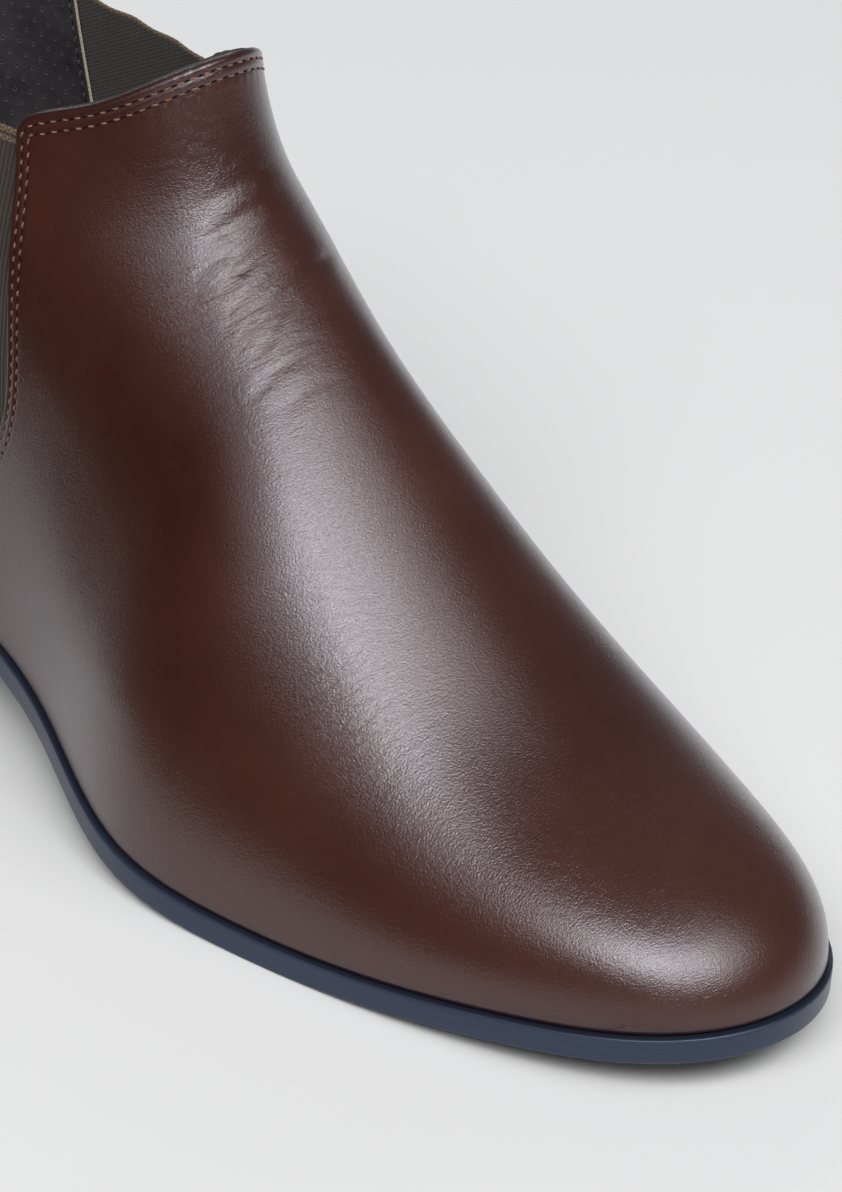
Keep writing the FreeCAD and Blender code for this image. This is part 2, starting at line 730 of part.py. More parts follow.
def pull_loop():
    """Webbing loop that stands on the top line at the back."""
    body = doc.addObject("PartDesign::Body", "pull_tab_loop")
    deep = size("tabdeep")
    tall = size("tabtall")
    ply = size("tabply")
    middle = Vector(TAB_X, size("tabfoot") + tall, 0)
    ovals = []
    for inset in (0.0, ply):
        top = middle + Vector(0, tall - inset, 0)
        flank = middle + Vector(deep - inset, 0, 0)
        ovals.append(Part.Ellipse(top, flank, middle))
    pad_across(body, "pull_tab_loop", ovals, "tabwide")
    keep(body, "pull_tab_loop")


outsole()
heel()
nails()
insole()
inner_bottom()
upper()
pull_loop()
doc.recompute()

# ---------------------------------------------------------------- placement, tests and files
sole_box = next(p for p in pieces if p.Label == "outsole").Shape.optimalBoundingBox()
origin = Vector(sole_box.Center.x, sole_box.Center.y, 0)
for piece in pieces:
    piece.Placement = Placement(-origin, Rotation()).multiply(piece.Placement)
doc.recompute()

for thing in doc.Objects:
    bad = [state for state in thing.State if state in ("Invalid", "Error")]
    assert not bad, "%s: %s" % (thing.Name, thing.State)
for piece in pieces:
    assert not piece.Shape.isNull() and piece.Shape.isValid(), piece.Label + " is not a good solid"
    assert piece.Shape.Solids, piece.Label + " holds no solid"

os.makedirs("parts", exist_ok=True)
for piece in pieces:
    piece.Shape.exportStep("parts/%s.step" % piece.Label)
    print(piece.Label, len(piece.Shape.Solids), round(piece.Shape.Volume))
print("origin", round(origin.x, 3), round(origin.y, 3))
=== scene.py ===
"""Looks of a right-foot chelsea boot.

The shape is worked out in the CAD's work frame, in millimetres: x = 0 at the back of the last and
+x to the toe, y < 0 on the lateral side, z = 0 on the ground. On the upper's face a point has two
params: level, 0 on the feather line and 1 at the top of the shaft, and turn, 0 on the crest,
negative on the lateral side and half a turn at the back.
"""

import math

import bpy
import numpy as np
from mathutils import Matrix, Vector
from mathutils.kdtree import KDTree


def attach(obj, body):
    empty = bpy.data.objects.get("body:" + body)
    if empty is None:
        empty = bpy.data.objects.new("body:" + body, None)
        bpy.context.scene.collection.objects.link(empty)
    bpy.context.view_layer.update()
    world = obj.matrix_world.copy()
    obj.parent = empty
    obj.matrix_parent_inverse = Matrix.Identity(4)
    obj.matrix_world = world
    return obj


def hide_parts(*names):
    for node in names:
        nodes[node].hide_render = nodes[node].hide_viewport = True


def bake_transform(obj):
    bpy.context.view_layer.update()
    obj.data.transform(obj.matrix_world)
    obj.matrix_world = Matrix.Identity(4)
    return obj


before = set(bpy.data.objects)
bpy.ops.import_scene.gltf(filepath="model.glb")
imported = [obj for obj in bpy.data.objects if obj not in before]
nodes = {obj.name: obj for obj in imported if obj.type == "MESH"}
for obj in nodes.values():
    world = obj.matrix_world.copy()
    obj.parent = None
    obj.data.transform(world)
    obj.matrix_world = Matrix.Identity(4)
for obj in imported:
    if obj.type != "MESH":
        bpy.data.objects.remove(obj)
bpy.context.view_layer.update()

ORIGIN = np.array([148.25, -2.575, 0.0])  # the row frame's origin, seen from the work frame
MM = 0.001


# ---- curves of the last
def spline(points):
    """Natural cubic through (x, y) points, straight beyond its ends."""
    xs, ys = np.array(points, float).T
    gap = np.diff(xs)
    slope = np.diff(ys) / gap
    matrix = np.eye(len(xs))
    right = np.zeros(len(xs))
    for i in range(1, len(xs) - 1):
        matrix[i, i - 1:i + 2] = gap[i - 1], 2 * (gap[i - 1] + gap[i]), gap[i]
        right[i] = 6 * (slope[i] - slope[i - 1])
    bend = np.linalg.solve(matrix, right)
    start = slope[0] - gap[0] * bend[1] / 6
    end = slope[-1] + gap[-1] * bend[-2] / 6

    def value(x):
        x = np.asarray(x, float)
        held = np.clip(x, xs[0], xs[-1])
        i = np.clip(np.searchsorted(xs, held) - 1, 0, len(xs) - 2)
        a = (xs[i + 1] - held) / gap[i]
        b = 1 - a
        cubic = ((a ** 3 - a) * bend[i] + (b ** 3 - b) * bend[i + 1]) * gap[i] ** 2 / 6
        outside = np.minimum(x - xs[0], 0) * start + np.maximum(x - xs[-1], 0) * end
        return a * ys[i] + b * ys[i + 1] + cubic + outside
    return value


LAST = 294.5  # x of the toe's tip
feather = spline([(0, 27), (62, 26), (112, 19), (165, 8), (208, 5.75), (250, 9.5), (297, 16)])
crest = spline([(118, 181), (127, 148), (142, 123.5), (162, 106.5), (188, 83.5), (220, 57.5),
                (255, 43), (297, 42)])
back = spline([(7, 5), (27, 2), (57, 1), (87, 5), (117, 9), (147, 10), (172, 9)])
lateral = spline([(0, 34), (40, 35), (80, 33), (120, 41.5), (160, 56.5), (190, 55), (220, 49.5),
                  (255, 42), (297, 39.5)])
medial = spline([(0, 34), (40, 35), (80, 31), (120, 30), (160, 39), (190, 45.5), (220, 49),
                 (255, 43), (297, 39)])
centre = spline([(0, 0), (100, 0), (200, 1.7), (297, 0.6)])
shaft = spline([(27, 34), (117, 34), (147, 32), (177, 36)])
round_lateral = spline([(100, 1.9), (160, 1.9), (200, 2.0), (245, 2.2), (290, 2.4)])
round_medial = spline([(100, 2.0), (160, 2.1), (200, 2.17), (245, 2.4), (290, 2.57)])
TOE_RISE, TOE_TAPER = (48.0, 2.33), (72.5, 2.77)  # reach and power of a rounding
CREST_ROUND, BACK_ROUND = (73.0, 2.2), (38.0, 2.3)
SHAFT_X, SHAFT_Z = (180.0, 118.0), (37.0, 92.0)  # where the foot turns into the shaft
THROAT_TOP, BACK_TOP = 180.0, 168.0
HEEL_Z = feather(0)


def smooth(start, end, x):
    share = np.clip((x - start) / (end - start), 0, 1)
    return share * share * (3 - 2 * share)


def rounded(distance, reach, power):
    return np.sqrt(np.maximum(1 - (1 - np.clip(distance / reach, 0, 1)) ** power, 0))


def toe_fall(x, reach, power):
    return np.sqrt(1 - np.clip((x - LAST + reach) / reach, 0, 1) ** power)


def ridge(x):
    low = feather(x)
    return low + (crest(x) - low) * toe_fall(x, *TOE_RISE)


def unit(vectors):
    return vectors / np.maximum(np.linalg.norm(vectors, axis=-1, keepdims=True), 1e-9)


def runs(points, axis=0):
    """Distances along a line of points, or along one axis of a grid of them."""
    steps = np.linalg.norm(np.diff(points, axis=axis), axis=-1)
    return np.insert(np.cumsum(steps, axis), 0, 0.0, axis)


def ridge_line():
    """Side view of the upper's centre line, from the toe's feather point up to the shaft's top."""
    toe = LAST - TOE_RISE[0] * (1 - np.cos(np.linspace(0, np.pi / 2, 300)))
    xs = np.concatenate([toe, np.linspace(toe[-1], 110, 900)[1:]])
    zs = ridge(xs)
    keep = np.arange(len(xs)) <= np.argmax(zs > THROAT_TOP)
    return xs[keep], zs[keep]


RIDGE_X, RIDGE_Z = ridge_line()
RIDGE_RUN = runs(np.stack([RIDGE_X, RIDGE_Z], -1))


def plan(x, lateral_side):
    return np.where(lateral_side, lateral(x), medial(x)) * toe_fall(x, *TOE_TAPER)


def half_width(x, z, lateral_side):
    """Half width of the upper: the lasted foot below, blended into the shaft above."""
    low = feather(x)
    rise = np.clip((z - low) / np.maximum(ridge(x) - low, 1e-6), 0, 1)
    power = np.where(lateral_side, round_lateral(x), round_medial(x))
    foot = plan(x, lateral_side) * np.sqrt(1 - rise ** power)
    tube = shaft(z) * rounded(np.interp(z, RIDGE_Z, RIDGE_X) - x, *CREST_ROUND)
    mix = smooth(*SHAFT_X, x) * smooth(*SHAFT_Z, z)
    return ((1 - mix) * foot + mix * tube) * rounded(x - back(z), *BACK_ROUND)


def side_view(level, turn):
    """x and z on the upper's face."""
    run = RIDGE_RUN[-1] * level
    front_x = np.interp(run, RIDGE_RUN, RIDGE_X)
    front_z = np.interp(run, RIDGE_RUN, RIDGE_Z)
    back_z = HEEL_Z + (BACK_TOP - HEEL_Z) * level
    along = (1 + np.cos(turn)) / 2
    x = back(back_z) + along * (front_x - back(back_z))
    heel_x = back(HEEL_Z)
    chord = HEEL_Z + along * (feather(LAST) - HEEL_Z)
    sag = (chord - feather(heel_x + along * (LAST - heel_x))) * (1 - level) ** 3
    return x, back_z + along * (front_z - back_z) - sag


def face(level, turn):
    """Points on the outer face of the upper."""
    x, z = side_view(level, turn)
    lateral_side = np.sin(turn) < 0
    y = centre(x) + np.where(lateral_side, -1, 1) * half_width(x, z, lateral_side)
    return np.stack([x, y, z], -1)


def on(params):
    return face(params[..., 0], params[..., 1])


def inward(params, step=3e-3):
    """Unit normals into the boot."""
    level, turn = params[..., 0], params[..., 1]
    across = face(level, turn + step) - face(level, turn - step)
    up = face(np.minimum(level + step, 1), turn) - face(np.maximum(level - step, 0), turn)
    return unit(np.cross(up, across))


def locate(x, z):
    """(level, turn from the crest) of side-view points."""
    low, high = np.zeros(np.shape(x)), np.ones(np.shape(x))
    for _ in range(40):
        level = (low + high) / 2
        back_x = back(HEEL_Z + (BACK_TOP - HEEL_Z) * level)
        front_x = np.interp(RIDGE_RUN[-1] * level, RIDGE_RUN, RIDGE_X)
        turn = np.arccos(2 * np.clip((x - back_x) / (front_x - back_x), 0, 1) - 1)
        under = side_view(level, turn)[1] < z
        low, high = np.where(under, level, low), np.where(under, high, level)
    return level, turn


# ---- outlines in side view
GORE_FRONT = [(92, 139), (95.5, 118), (98, 98), (97, 76), (84, 54)]
GORE_BACK = [(84, 54), (66, 64), (55, 88), (49, 116), (45, 138)]
GORE_TOP = 139.0
SEAM = [(58, float(feather(58))), (62, 29), (72, 42), (84, 54)]
FRONT_TOP = [(92, 139), (93.5, 142), (97, 144.3), (108, 149), (118, 155.5), (132, 166)]
BACK_TOP_LINE = [(45, 138), (42, 142), (36, 143.5), (22, 147.5), (8, 152.5), (-12, 160)]
CORNER_FRONT, CORNER_BACK = (93.5, 142.0), (42.8, 141.0)


def through(points, count=400):
    """Even samples of a smooth line through side-view points."""
    points = np.array(points, float)
    run = runs(points)
    fine = np.linspace(0, run[-1], count)
    return np.stack([spline(list(zip(run, points[:, k])))(fine) for k in (0, 1)], -1)


def joined(*lines):
    return np.concatenate([lines[0]] + [line[1:] for line in lines[1:]])


def split_at(line, point):
    k = int(np.argmin(np.hypot(*(line - point).T)))
    return line[:k + 1], line[k:]


def resampled(params, run, where):
    return np.stack([np.interp(where, run, params[:, k]) for k in (0, 1)], -1)


def even(params, where):
    """Params of a line on the face, at distances where along it."""
    return resampled(params, runs(on(params)), where)


def length(params):
    return runs(on(params))[-1]


def spread(params, count):
    """Evenly spaced params of a line on the face."""
    return even(params, np.linspace(0, length(params), count))


def on_face(points, side):
    """Params of side-view points on one side of the boot, cut off at the crest or the back."""
    level, turn = locate(points[:, 0], points[:, 1])
    crest_x = np.interp(points[:, 1], RIDGE_Z, RIDGE_X)
    inside = (points[:, 0] < crest_x) & (points[:, 0] > back(points[:, 1]))
    return np.stack([level, side * turn], -1)[inside]


# ---- grids on the upper's face
def spaced(total, first, last, count):
    """Distances from 0 to total: the first ones, even ones, and the last ones seen from the end."""
    middle = np.linspace(first[-1], total - last[-1], count)[1:-1]
    return np.concatenate([first, middle, total - np.array(last[::-1])])


def patch(bottom, top, left, right, rows, fine=160):
    """Grid of params from four edges that meet at their ends, with its rows spaced by rows."""
    u = np.linspace(0, 1, len(bottom))[:, None, None]
    v = np.linspace(0, 1, fine)[None, :, None]
    left, right = spread(left, fine)[None], spread(right, fine)[None]
    bottom, top = bottom[:, None], top[:, None]
    grid = ((1 - v) * bottom + v * top + (1 - u) * left + u * right
            - (1 - u) * ((1 - v) * bottom[:1] + v * top[:1])
            - u * ((1 - v) * bottom[-1:] + v * top[-1:]))
    return np.array([even(column, spaced(length(column), *rows)) for column in grid])


def tree_of(points):
    tree = KDTree(len(points))
    for i, point in enumerate(points):
        tree.insert(point, i)
    tree.balance()
    return tree


class Edge:
    """A line on the face, with the distance of any point from it and a value carried along it."""

    def __init__(self, params, value, step=0.5):
        run = runs(on(params))
        self.run = np.linspace(0, run[-1], int(run[-1] / step))
        self.params = resampled(params, run, self.run)
        self.points = on(self.params)
        self.value = np.interp(self.run, run, value)
        self.tree = tree_of(self.points)

    def near(self, points):
        """Distance, value and run of the nearest place on the line, for an array of points."""
        flat = points.reshape(-1, 3)
        index = np.array([self.tree.find(p)[1] for p in flat])
        found = []
        for a in (index - 1, index):
            a = np.clip(a, 0, len(self.points) - 2)
            start, step = self.points[a], self.points[a + 1] - self.points[a]
            share = np.clip(((flat - start) * step).sum(-1) / (step * step).sum(-1), 0, 1)
            distance = np.linalg.norm(flat - start - share[:, None] * step, axis=-1)
            found.append([distance] + [line[a] + share * (line[a + 1] - line[a])
                                       for line in (self.value, self.run)])
        first = found[0][0] <= found[1][0]
        return [np.where(first, *pair).reshape(points.shape[:-1]) for pair in zip(*found)]


def stacked(*grids):
    return np.concatenate([grid.reshape(-1, grid.shape[-1]) for grid in grids])


def grid_faces(columns, rows, start=0):
    i, j = np.meshgrid(np.arange(columns - 1), np.arange(rows - 1), indexing="ij")
    a = start + i * rows + j
    return np.stack([a, a + rows, a + rows + 1, a + 1], -1).reshape(-1, 4)


# ---- materials
class Wire:
    """Output of a node. Arithmetic on it adds Math nodes."""

    def __init__(self, shader, socket):
        self.shader, self.socket = shader, socket

    def math(self, operation, other=0.0):
        return self.shader.math(operation, self, other)

    def __add__(self, other):
        return self.math("ADD", other)

    def __sub__(self, other):
        return self.math("SUBTRACT", other)

    def __rsub__(self, other):
        return self.shader.math("SUBTRACT", other, self)

    def __mul__(self, other):
        return self.math("MULTIPLY", other)

    def __truediv__(self, other):
        return self.math("DIVIDE", other)

    def __abs__(self):
        return self.math("ABSOLUTE")


class Shader:
    """Node material built in a few calls."""

    def __init__(self, name):
        self.material = bpy.data.materials.new(name)
        self.material.use_nodes = True
        self.tree = self.material.node_tree
        self.principled = next(n for n in self.tree.nodes if n.type == "BSDF_PRINCIPLED")

    def put(self, socket, value):
        if isinstance(value, Wire):
            self.tree.links.new(value.socket, socket)
        else:
            socket.default_value = value

    def node(self, kind, output, **settings):
        """Wire from a new node; a setting is an input or a property of it."""
        made = self.tree.nodes.new("ShaderNode" + kind)
        for key, value in settings.items():
            label = key.replace("_", " ")
            if label in made.inputs:
                self.put(made.inputs[label], value)
            else:
                setattr(made, key, value)
        return Wire(self, made.outputs[output])

    def finish(self, tone, rough, normal=None, **others):
        for key, value in {"Base Color": tone, "Roughness": rough, "Normal": normal, **others}.items():
            if value is not None:
                self.put(self.principled.inputs[key.replace("_", " ")], value)
        return self.material

    def place(self):
        """Position on the piece in metres, which stays with it."""
        return self.node("TexCoord", "Object")

    def uv(self):
        return self.node("UVMap", "UV", uv_map="UVMap")

    def value(self, name):
        return self.node("Attribute", "Fac", attribute_name=name)

    def axis(self, vector, name):
        return self.node("SeparateXYZ", name, Vector=vector)

    def stretched(self, vector, *scale):
        return self.node("Mapping", "Vector", Vector=vector, Scale=scale)

    def noise(self, vector, scale, detail=4.0, rough=0.55, distort=0.0):
        return self.node("TexNoise", "Fac", Vector=vector, Scale=scale, Detail=detail, Roughness=rough,
                         Distortion=distort)

    def fade(self, value, start, end):
        """1 at start and falling smoothly to 0 at end."""
        return self.node("MapRange", "Result", interpolation_type="SMOOTHSTEP", Value=value,
                         From_Min=end, From_Max=start)

    def ramp(self, value, low, dark, high, light):
        """Colours or grey levels at positions low and high."""
        made = self.node("ValToRGB", "Color", Fac=value)
        elements = made.socket.node.color_ramp.elements
        for element, position, colour in zip(elements, (low, high), (dark, light)):
            element.position = position
            element.color = (*(colour if isinstance(colour, tuple) else [colour] * 3), 1)
        return made

    def math(self, operation, a, b):
        made = self.node("Math", "Value", operation=operation)
        for socket, value in zip(made.socket.node.inputs, (a, b, 0.0)):
            self.put(socket, value)
        return made

    def mix(self, share, a, b):
        made = self.node("Mix", 2, data_type="RGBA", Factor=share)
        for socket, value in zip([s for s in made.socket.node.inputs if s.type == "RGBA"], (a, b)):
            self.put(socket, value if isinstance(value, Wire) else (*value, 1))
        return made

    def bump(self, height, depth, under=None, strength=1.0):
        """Normal from a height of 0 to 1 that stands for depth metres."""
        below = {} if under is None else {"Normal": under}
        return self.node("Bump", "Normal", Height=height, Distance=depth, Strength=strength, **below)


def leather_upper():
    """Polished calf. The grain lies across the foot, and flex lines show where 'flex' is high."""
    s = Shader("upper_leather")
    mottle = s.noise(s.place(), 30, 5, 0.62)
    broad = s.noise(s.place(), 9, 2, 0.5)
    grain = s.noise(s.stretched(s.uv(), 2.9, 2.1, 1.0), 1.0, 3, 0.62, 0.2)
    pores = s.node("TexVoronoi", "Distance", feature="SMOOTH_F1", Scale=1.0,
                   Vector=s.stretched(s.uv(), 2.6, 1.9, 1.0))
    lines = s.noise(s.stretched(s.uv(), 0.62, 0.15, 1.0), 1.0, 5, 0.62, 0.5)
    flex = s.value("flex")
    tone = s.ramp(mottle, 0.3, (0.0265, 0.0064, 0.0032), 0.7, (0.041, 0.0108, 0.0054))
    # The 'edge' mix darkens the free edges and stitch rows, and paints shade where the leather curls
    # under at the sole.
    for share, over in ((s.ramp(broad, 0.4, 0.0, 0.7, 1.0) * 0.45, (0.052, 0.0155, 0.0072)),
                        (s.ramp(grain, 0.35, 1.0, 0.5, 0.0) * 0.22, (0.012, 0.0032, 0.0022)),
                        (s.value("edge") * 0.6, (0.011, 0.0034, 0.0024))):
        tone = s.mix(share, tone, over)
    normal = s.bump(grain * 0.7 + pores * 0.3, 0.00011)
    normal = s.bump(lines * flex, 0.00036, normal)
    normal = s.bump(mottle, 0.00012, normal)
    return s.finish(tone, mottle * 0.12 + 0.26 + flex * 0.05, normal,
                    Specular_IOR_Level=0.4, Specular_Tint=(0.80, 0.84, 1.0, 1),
                    Coat_Weight=0.75, Coat_Roughness=0.16, Coat_IOR=1.5, Coat_Normal=normal,
                    Sheen_Weight=0.04, Sheen_Roughness=0.35, Sheen_Tint=(0.55, 0.60, 1.0, 1))


def cut_edge(name, scale, dark, light, rough, depth):
    """Cut leather: fine loose fibre."""
    s = Shader(name)
    fibre = s.noise(s.place(), scale, 4, 0.6)
    return s.finish(s.ramp(fibre, 0.3, dark, 0.7, light), rough, s.bump(fibre, depth))


HOLE_PITCH, HOLE_RADIUS = 3.1, 0.26  # of the perforated rows, in millimetres
HOLE_STEP = HOLE_PITCH * 1.35  # along a row


def perforated(s, tone, normal):
    """Rows of punched holes, every second row shifted by half a step, with painted shade inside each
    hole and a painted highlight round it.
    """
    across, along = s.axis(s.uv(), "X"), s.axis(s.uv(), "Y") / HOLE_PITCH
    shift = abs(along.math("FLOOR")).math("MODULO", 2.0) * 0.5
    a = ((across / HOLE_STEP + shift).math("FRACT") - 0.5) * HOLE_STEP
    b = (along.math("FRACT") - 0.5) * (HOLE_PITCH * 0.8)
    far = (a * a + b * b).math("SQRT")
    hole = s.fade(far, HOLE_RADIUS * 0.75, HOLE_RADIUS * 1.25)
    # painted highlight: a light grey ring round each hole stands in for its glint
    rim = s.fade(far, HOLE_RADIUS * 1.2, HOLE_RADIUS * 2.1) - hole
    # painted shade: each hole is coloured near black
    tone = s.mix(hole, s.mix(rim * 0.55, tone, (0.16, 0.14, 0.135)), (0.006, 0.005, 0.005))
    return tone, s.bump(1.0 - hole, 0.00035, normal)


def leather_lining(name, dark, light, holes=False):
    """Matt lining leather."""
    s = Shader(name)
    mottle, fine = s.noise(s.place(), 120, 5, 0.65), s.noise(s.place(), 1900, 3, 0.6)
    tone = s.ramp(mottle, 0.3, dark, 0.72, light)
    normal = s.bump(fine * 0.4 + mottle * 0.6, 0.00022)
    if holes:
        tone, normal = perforated(s, tone, normal)
    return s.finish(tone, 0.72, normal, Specular_IOR_Level=0.35)


def weave(name, warp, weft, ribs, picks, dark, light, sheen=0.1):
    """Woven elastic or webbing: ribs along V, picks across, sizes in UV millimetres."""
    s = Shader(name)
    x = s.axis(s.uv(), "X") + s.noise(s.uv(), 0.6, 2) * 0.35
    rib = abs((x * (math.pi / ribs)).math("SINE"))
    phase = abs((x / ribs).math("FLOOR")).math("MODULO", 2.0) * (math.pi / 2)
    pick = abs((s.axis(s.uv(), "Y") * (math.pi / picks) + phase).math("SINE"))
    yarn = s.noise(s.uv(), 5.5, 3, 0.7)
    height = rib * warp + pick * weft
    # painted shade: the tone is darker where the ribs and picks are low, with random yarn tone on top
    tone = s.ramp(height * (yarn * 0.8 + 0.55), 0.12, dark, 0.85, light)
    return s.finish(tone, 0.82, s.bump(yarn, 0.0001, s.bump(height, 0.00028, strength=0.9)),
                    Sheen_Weight=sheen, Sheen_Roughness=0.5, Specular_IOR_Level=0.15)


def thread(name, dark, light, worn_tone):
    """Twisted sewing thread; U runs round it and V along it."""
    s = Shader(name)
    twist = s.axis(s.uv(), "X") * (4 * math.pi) + s.axis(s.uv(), "Y") * 9.0
    strand = abs(twist.math("SINE"))
    worn = s.ramp(s.noise(s.place(), 260, 2), 0.4, 0.0, 0.65, 0.6)
    # painted shade: darker between the strands of the twist; the worn patches are random
    return s.finish(s.mix(worn, s.ramp(strand, 0.0, dark, 0.8, light), worn_tone), 0.5,
                    s.bump(strand, 0.00008), Sheen_Weight=0.3)


def painted_hole_shade():
    # painted shade: near-black discs stand in for the shade inside the needle holes
    s = Shader("painted_hole_shade")
    tone = s.ramp(s.noise(s.place(), 3000, 2), 0.3, (0.006, 0.003, 0.002), 0.8, (0.014, 0.006, 0.004))
    return s.finish(tone, 0.95, Specular_IOR_Level=0.1)


def sole_rubber():
    """Smooth black sole with a burnished edge and faint drawn streaks. Its colour is tinted blue-grey as
    a painted reflection of its sheen, and its top face by the upper is painted near black as shade of
    the gap.
    """
    s = Shader("sole_edge")
    streak = s.noise(s.stretched(s.uv(), 0.02, 5.0, 1.0), 1.0, 5, 0.6)
    speck = s.noise(s.place(), 900, 3)
    # painted shade: the top face next to the upper is coloured near black as the shade of the gap
    gap_shade = s.value("gap_shade")
    tone = s.ramp(streak, 0.3, (0.0130, 0.0165, 0.0290), 0.75, (0.026, 0.0325, 0.0540))
    return s.finish(s.mix(gap_shade, tone, (0.0025, 0.0022, 0.0028)),
                    (streak * 0.16 + 0.26).math("MAXIMUM", gap_shade * 0.9),
                    s.bump(streak * 0.6 + speck * 0.4, 0.00012),
                    Specular_IOR_Level=0.55 - gap_shade * 0.5, Specular_Tint=(0.58, 0.72, 1.0, 1))


def tread_rubber():
    """Underside: fine moulded ribs across the boot and light scuffing."""
    s = Shader("sole_tread")
    rib = (s.axis(s.place(), "X") * (math.tau / 0.0022)).math("SINE")
    scuff, fine = s.noise(s.place(), 60, 6, 0.7), s.noise(s.place(), 700, 3)
    return s.finish(s.ramp(scuff, 0.35, (0.012, 0.012, 0.013), 0.75, (0.035, 0.034, 0.033)),
                    s.ramp(scuff, 0.3, 0.45, 0.7, 0.7),
                    s.bump(fine, 0.0001, s.bump(rib * s.value("tread"), 0.0003)))


def stack_board():
    """Heel lifts: pressed leather board, edge inked black, with thin layer lines."""
    s = Shader("heel_board")
    layer = s.noise(s.stretched(s.place(), 1.0, 1.0, 60.0), 22, 4, 0.6)
    return s.finish(s.ramp(layer, 0.3, (0.010, 0.009, 0.010), 0.75, (0.026, 0.022, 0.022)),
                    s.ramp(layer, 0.3, 0.26, 0.7, 0.42), s.bump(layer, 0.00016),
                    Coat_Weight=0.3, Coat_Roughness=0.25)


def plain(name, dark, light, scale, rough, depth, metal=0.0, stretch=(1, 1, 1)):
    """Simple procedural finish for small and inner pieces."""
    s = Shader(name)
    grain = s.noise(s.stretched(s.place(), *stretch), scale, 5, 0.65)
    return s.finish(s.ramp(grain, 0.3, dark, 0.72, light),
                    s.ramp(grain, 0.3, rough, 0.7, min(1.0, rough + 0.12)), s.bump(grain, depth),
                    Metallic=metal)


UPPER = leather_upper()
UPPER_EDGE = cut_edge("dyed_edge", 2200, (0.022, 0.009, 0.006), (0.055, 0.022, 0.014), 0.6, 0.0001)
LINING_EDGE = cut_edge("raw_edge", 2600, (0.20, 0.165, 0.12), (0.42, 0.36, 0.27), 0.9, 0.0002)
LINING = leather_lining("lining_leather", (0.020, 0.017, 0.018), (0.046, 0.040, 0.040))
PERFORATED = leather_lining("lining_perforated", (0.017, 0.014, 0.017), (0.040, 0.034, 0.038), True)
SOCK = leather_lining("sock_leather", (0.022, 0.015, 0.011), (0.050, 0.036, 0.028))
ELASTIC = weave("gore_elastic", 0.75, 0.25, 1.15, 0.5, (0.008, 0.0052, 0.004), (0.042, 0.029, 0.023))
KNIT = weave("gore_knit", 0.45, 0.55, 0.8, 0.9, (0.0085, 0.0070, 0.0066), (0.056, 0.046, 0.041))
SELVEDGE = weave("gore_selvedge", 0.4, 0.6, 0.9, 1.1, (0.020, 0.012, 0.007), (0.125, 0.085, 0.050))
WEBBING = weave("tab_webbing", 0.35, 0.65, 0.75, 1.3, (0.012, 0.008, 0.006), (0.085, 0.055, 0.036), 0.25)
THREAD = thread("stitch_thread", (0.045, 0.016, 0.007), (0.25, 0.084, 0.027), (0.075, 0.025, 0.011))
DARK_THREAD = thread("lining_thread", (0.003, 0.0025, 0.0025), (0.016, 0.012, 0.011),
                     (0.006, 0.005, 0.005))
HOLE_SHADE = painted_hole_shade()
SOLE = sole_rubber()
TREAD = tread_rubber()
BOARD = stack_board()
RUBBER = plain("heel_rubber", (0.010, 0.010, 0.011), (0.028, 0.028, 0.028), 420, 0.5, 0.0002)
CORK = plain("cork", (0.20, 0.105, 0.048), (0.46, 0.29, 0.15), 420, 0.85, 0.0004)
INSOLE_BOARD = plain("insole_board", (0.34, 0.24, 0.14), (0.50, 0.38, 0.25), 160, 0.8, 0.0002)
FOAM = plain("heel_foam", (0.52, 0.47, 0.35), (0.68, 0.63, 0.50), 900, 0.95, 0.0004)
FELT = plain("stiffener_felt", (0.38, 0.34, 0.27), (0.62, 0.57, 0.47), 700, 0.9, 0.0003)
NAIL = plain("nail_steel", (0.36, 0.36, 0.37), (0.60, 0.60, 0.61), 300, 0.24, 0.00005, 1.0, (1, 1, 0.1))
SPRING = plain("shank_steel", (0.15, 0.16, 0.19), (0.32, 0.33, 0.36), 120, 0.3, 0.0001, 1.0, (0.1, 1, 1))
BRASS = plain("rivet_brass", (0.48, 0.30, 0.10), (0.72, 0.50, 0.20), 300, 0.25, 0.00005, 1.0)


# ---- panels of the upper
NEAR_EDGE = [0, 0.2, 0.42, 0.68, 0.95, 1.25, 1.6, 1.95, 2.25, 2.6, 2.95, 3.3, 3.7, 4.1, 4.45, 4.85,
             5.4, 6.2, 7.4]  # distances of the grid's rows and columns from an edge
NEAR_FOOT = [0, 0.12, 0.3, 0.55, 0.85, 1.2, 1.6, 2.1, 2.8, 3.8]
NEAR_LINING = [0, 0.12, 0.3, 0.6, 1.2, 2, 3]
NEAR_GORE = [0, 0.06, 0.15, 0.3, 0.5, 0.8, 1.1, 1.4, 1.75, 2.1, 2.5, 2.9, 3.2, 3.6, 4.2, 5.0]


def side_edges(gore_line, top_line, corner, side, end_turn):
    """Edge of a leather piece from the sole up to its top corner, and its top edge from there."""
    start, rest = split_at(through(top_line), corner)
    rise = on_face(joined(through(SEAM), through(gore_line), start), side)
    rise[0, 0] = 0.0
    top = on_face(rest, side)
    top = np.concatenate([top, [[top[-1, 0], side * end_turn]]])
    top[0] = rise[-1]
    return rise, top


def smoothed(values, run, count=1500, reach=20):
    """Values along a line, with their steps softened."""
    spots = np.linspace(0, run[-1], count)
    kernel = np.hanning(2 * reach + 1)
    padded = np.pad(np.interp(spots, run, values), reach, mode="edge")
    return np.interp(run, spots, np.convolve(padded, kernel / kernel.sum(), "valid"))


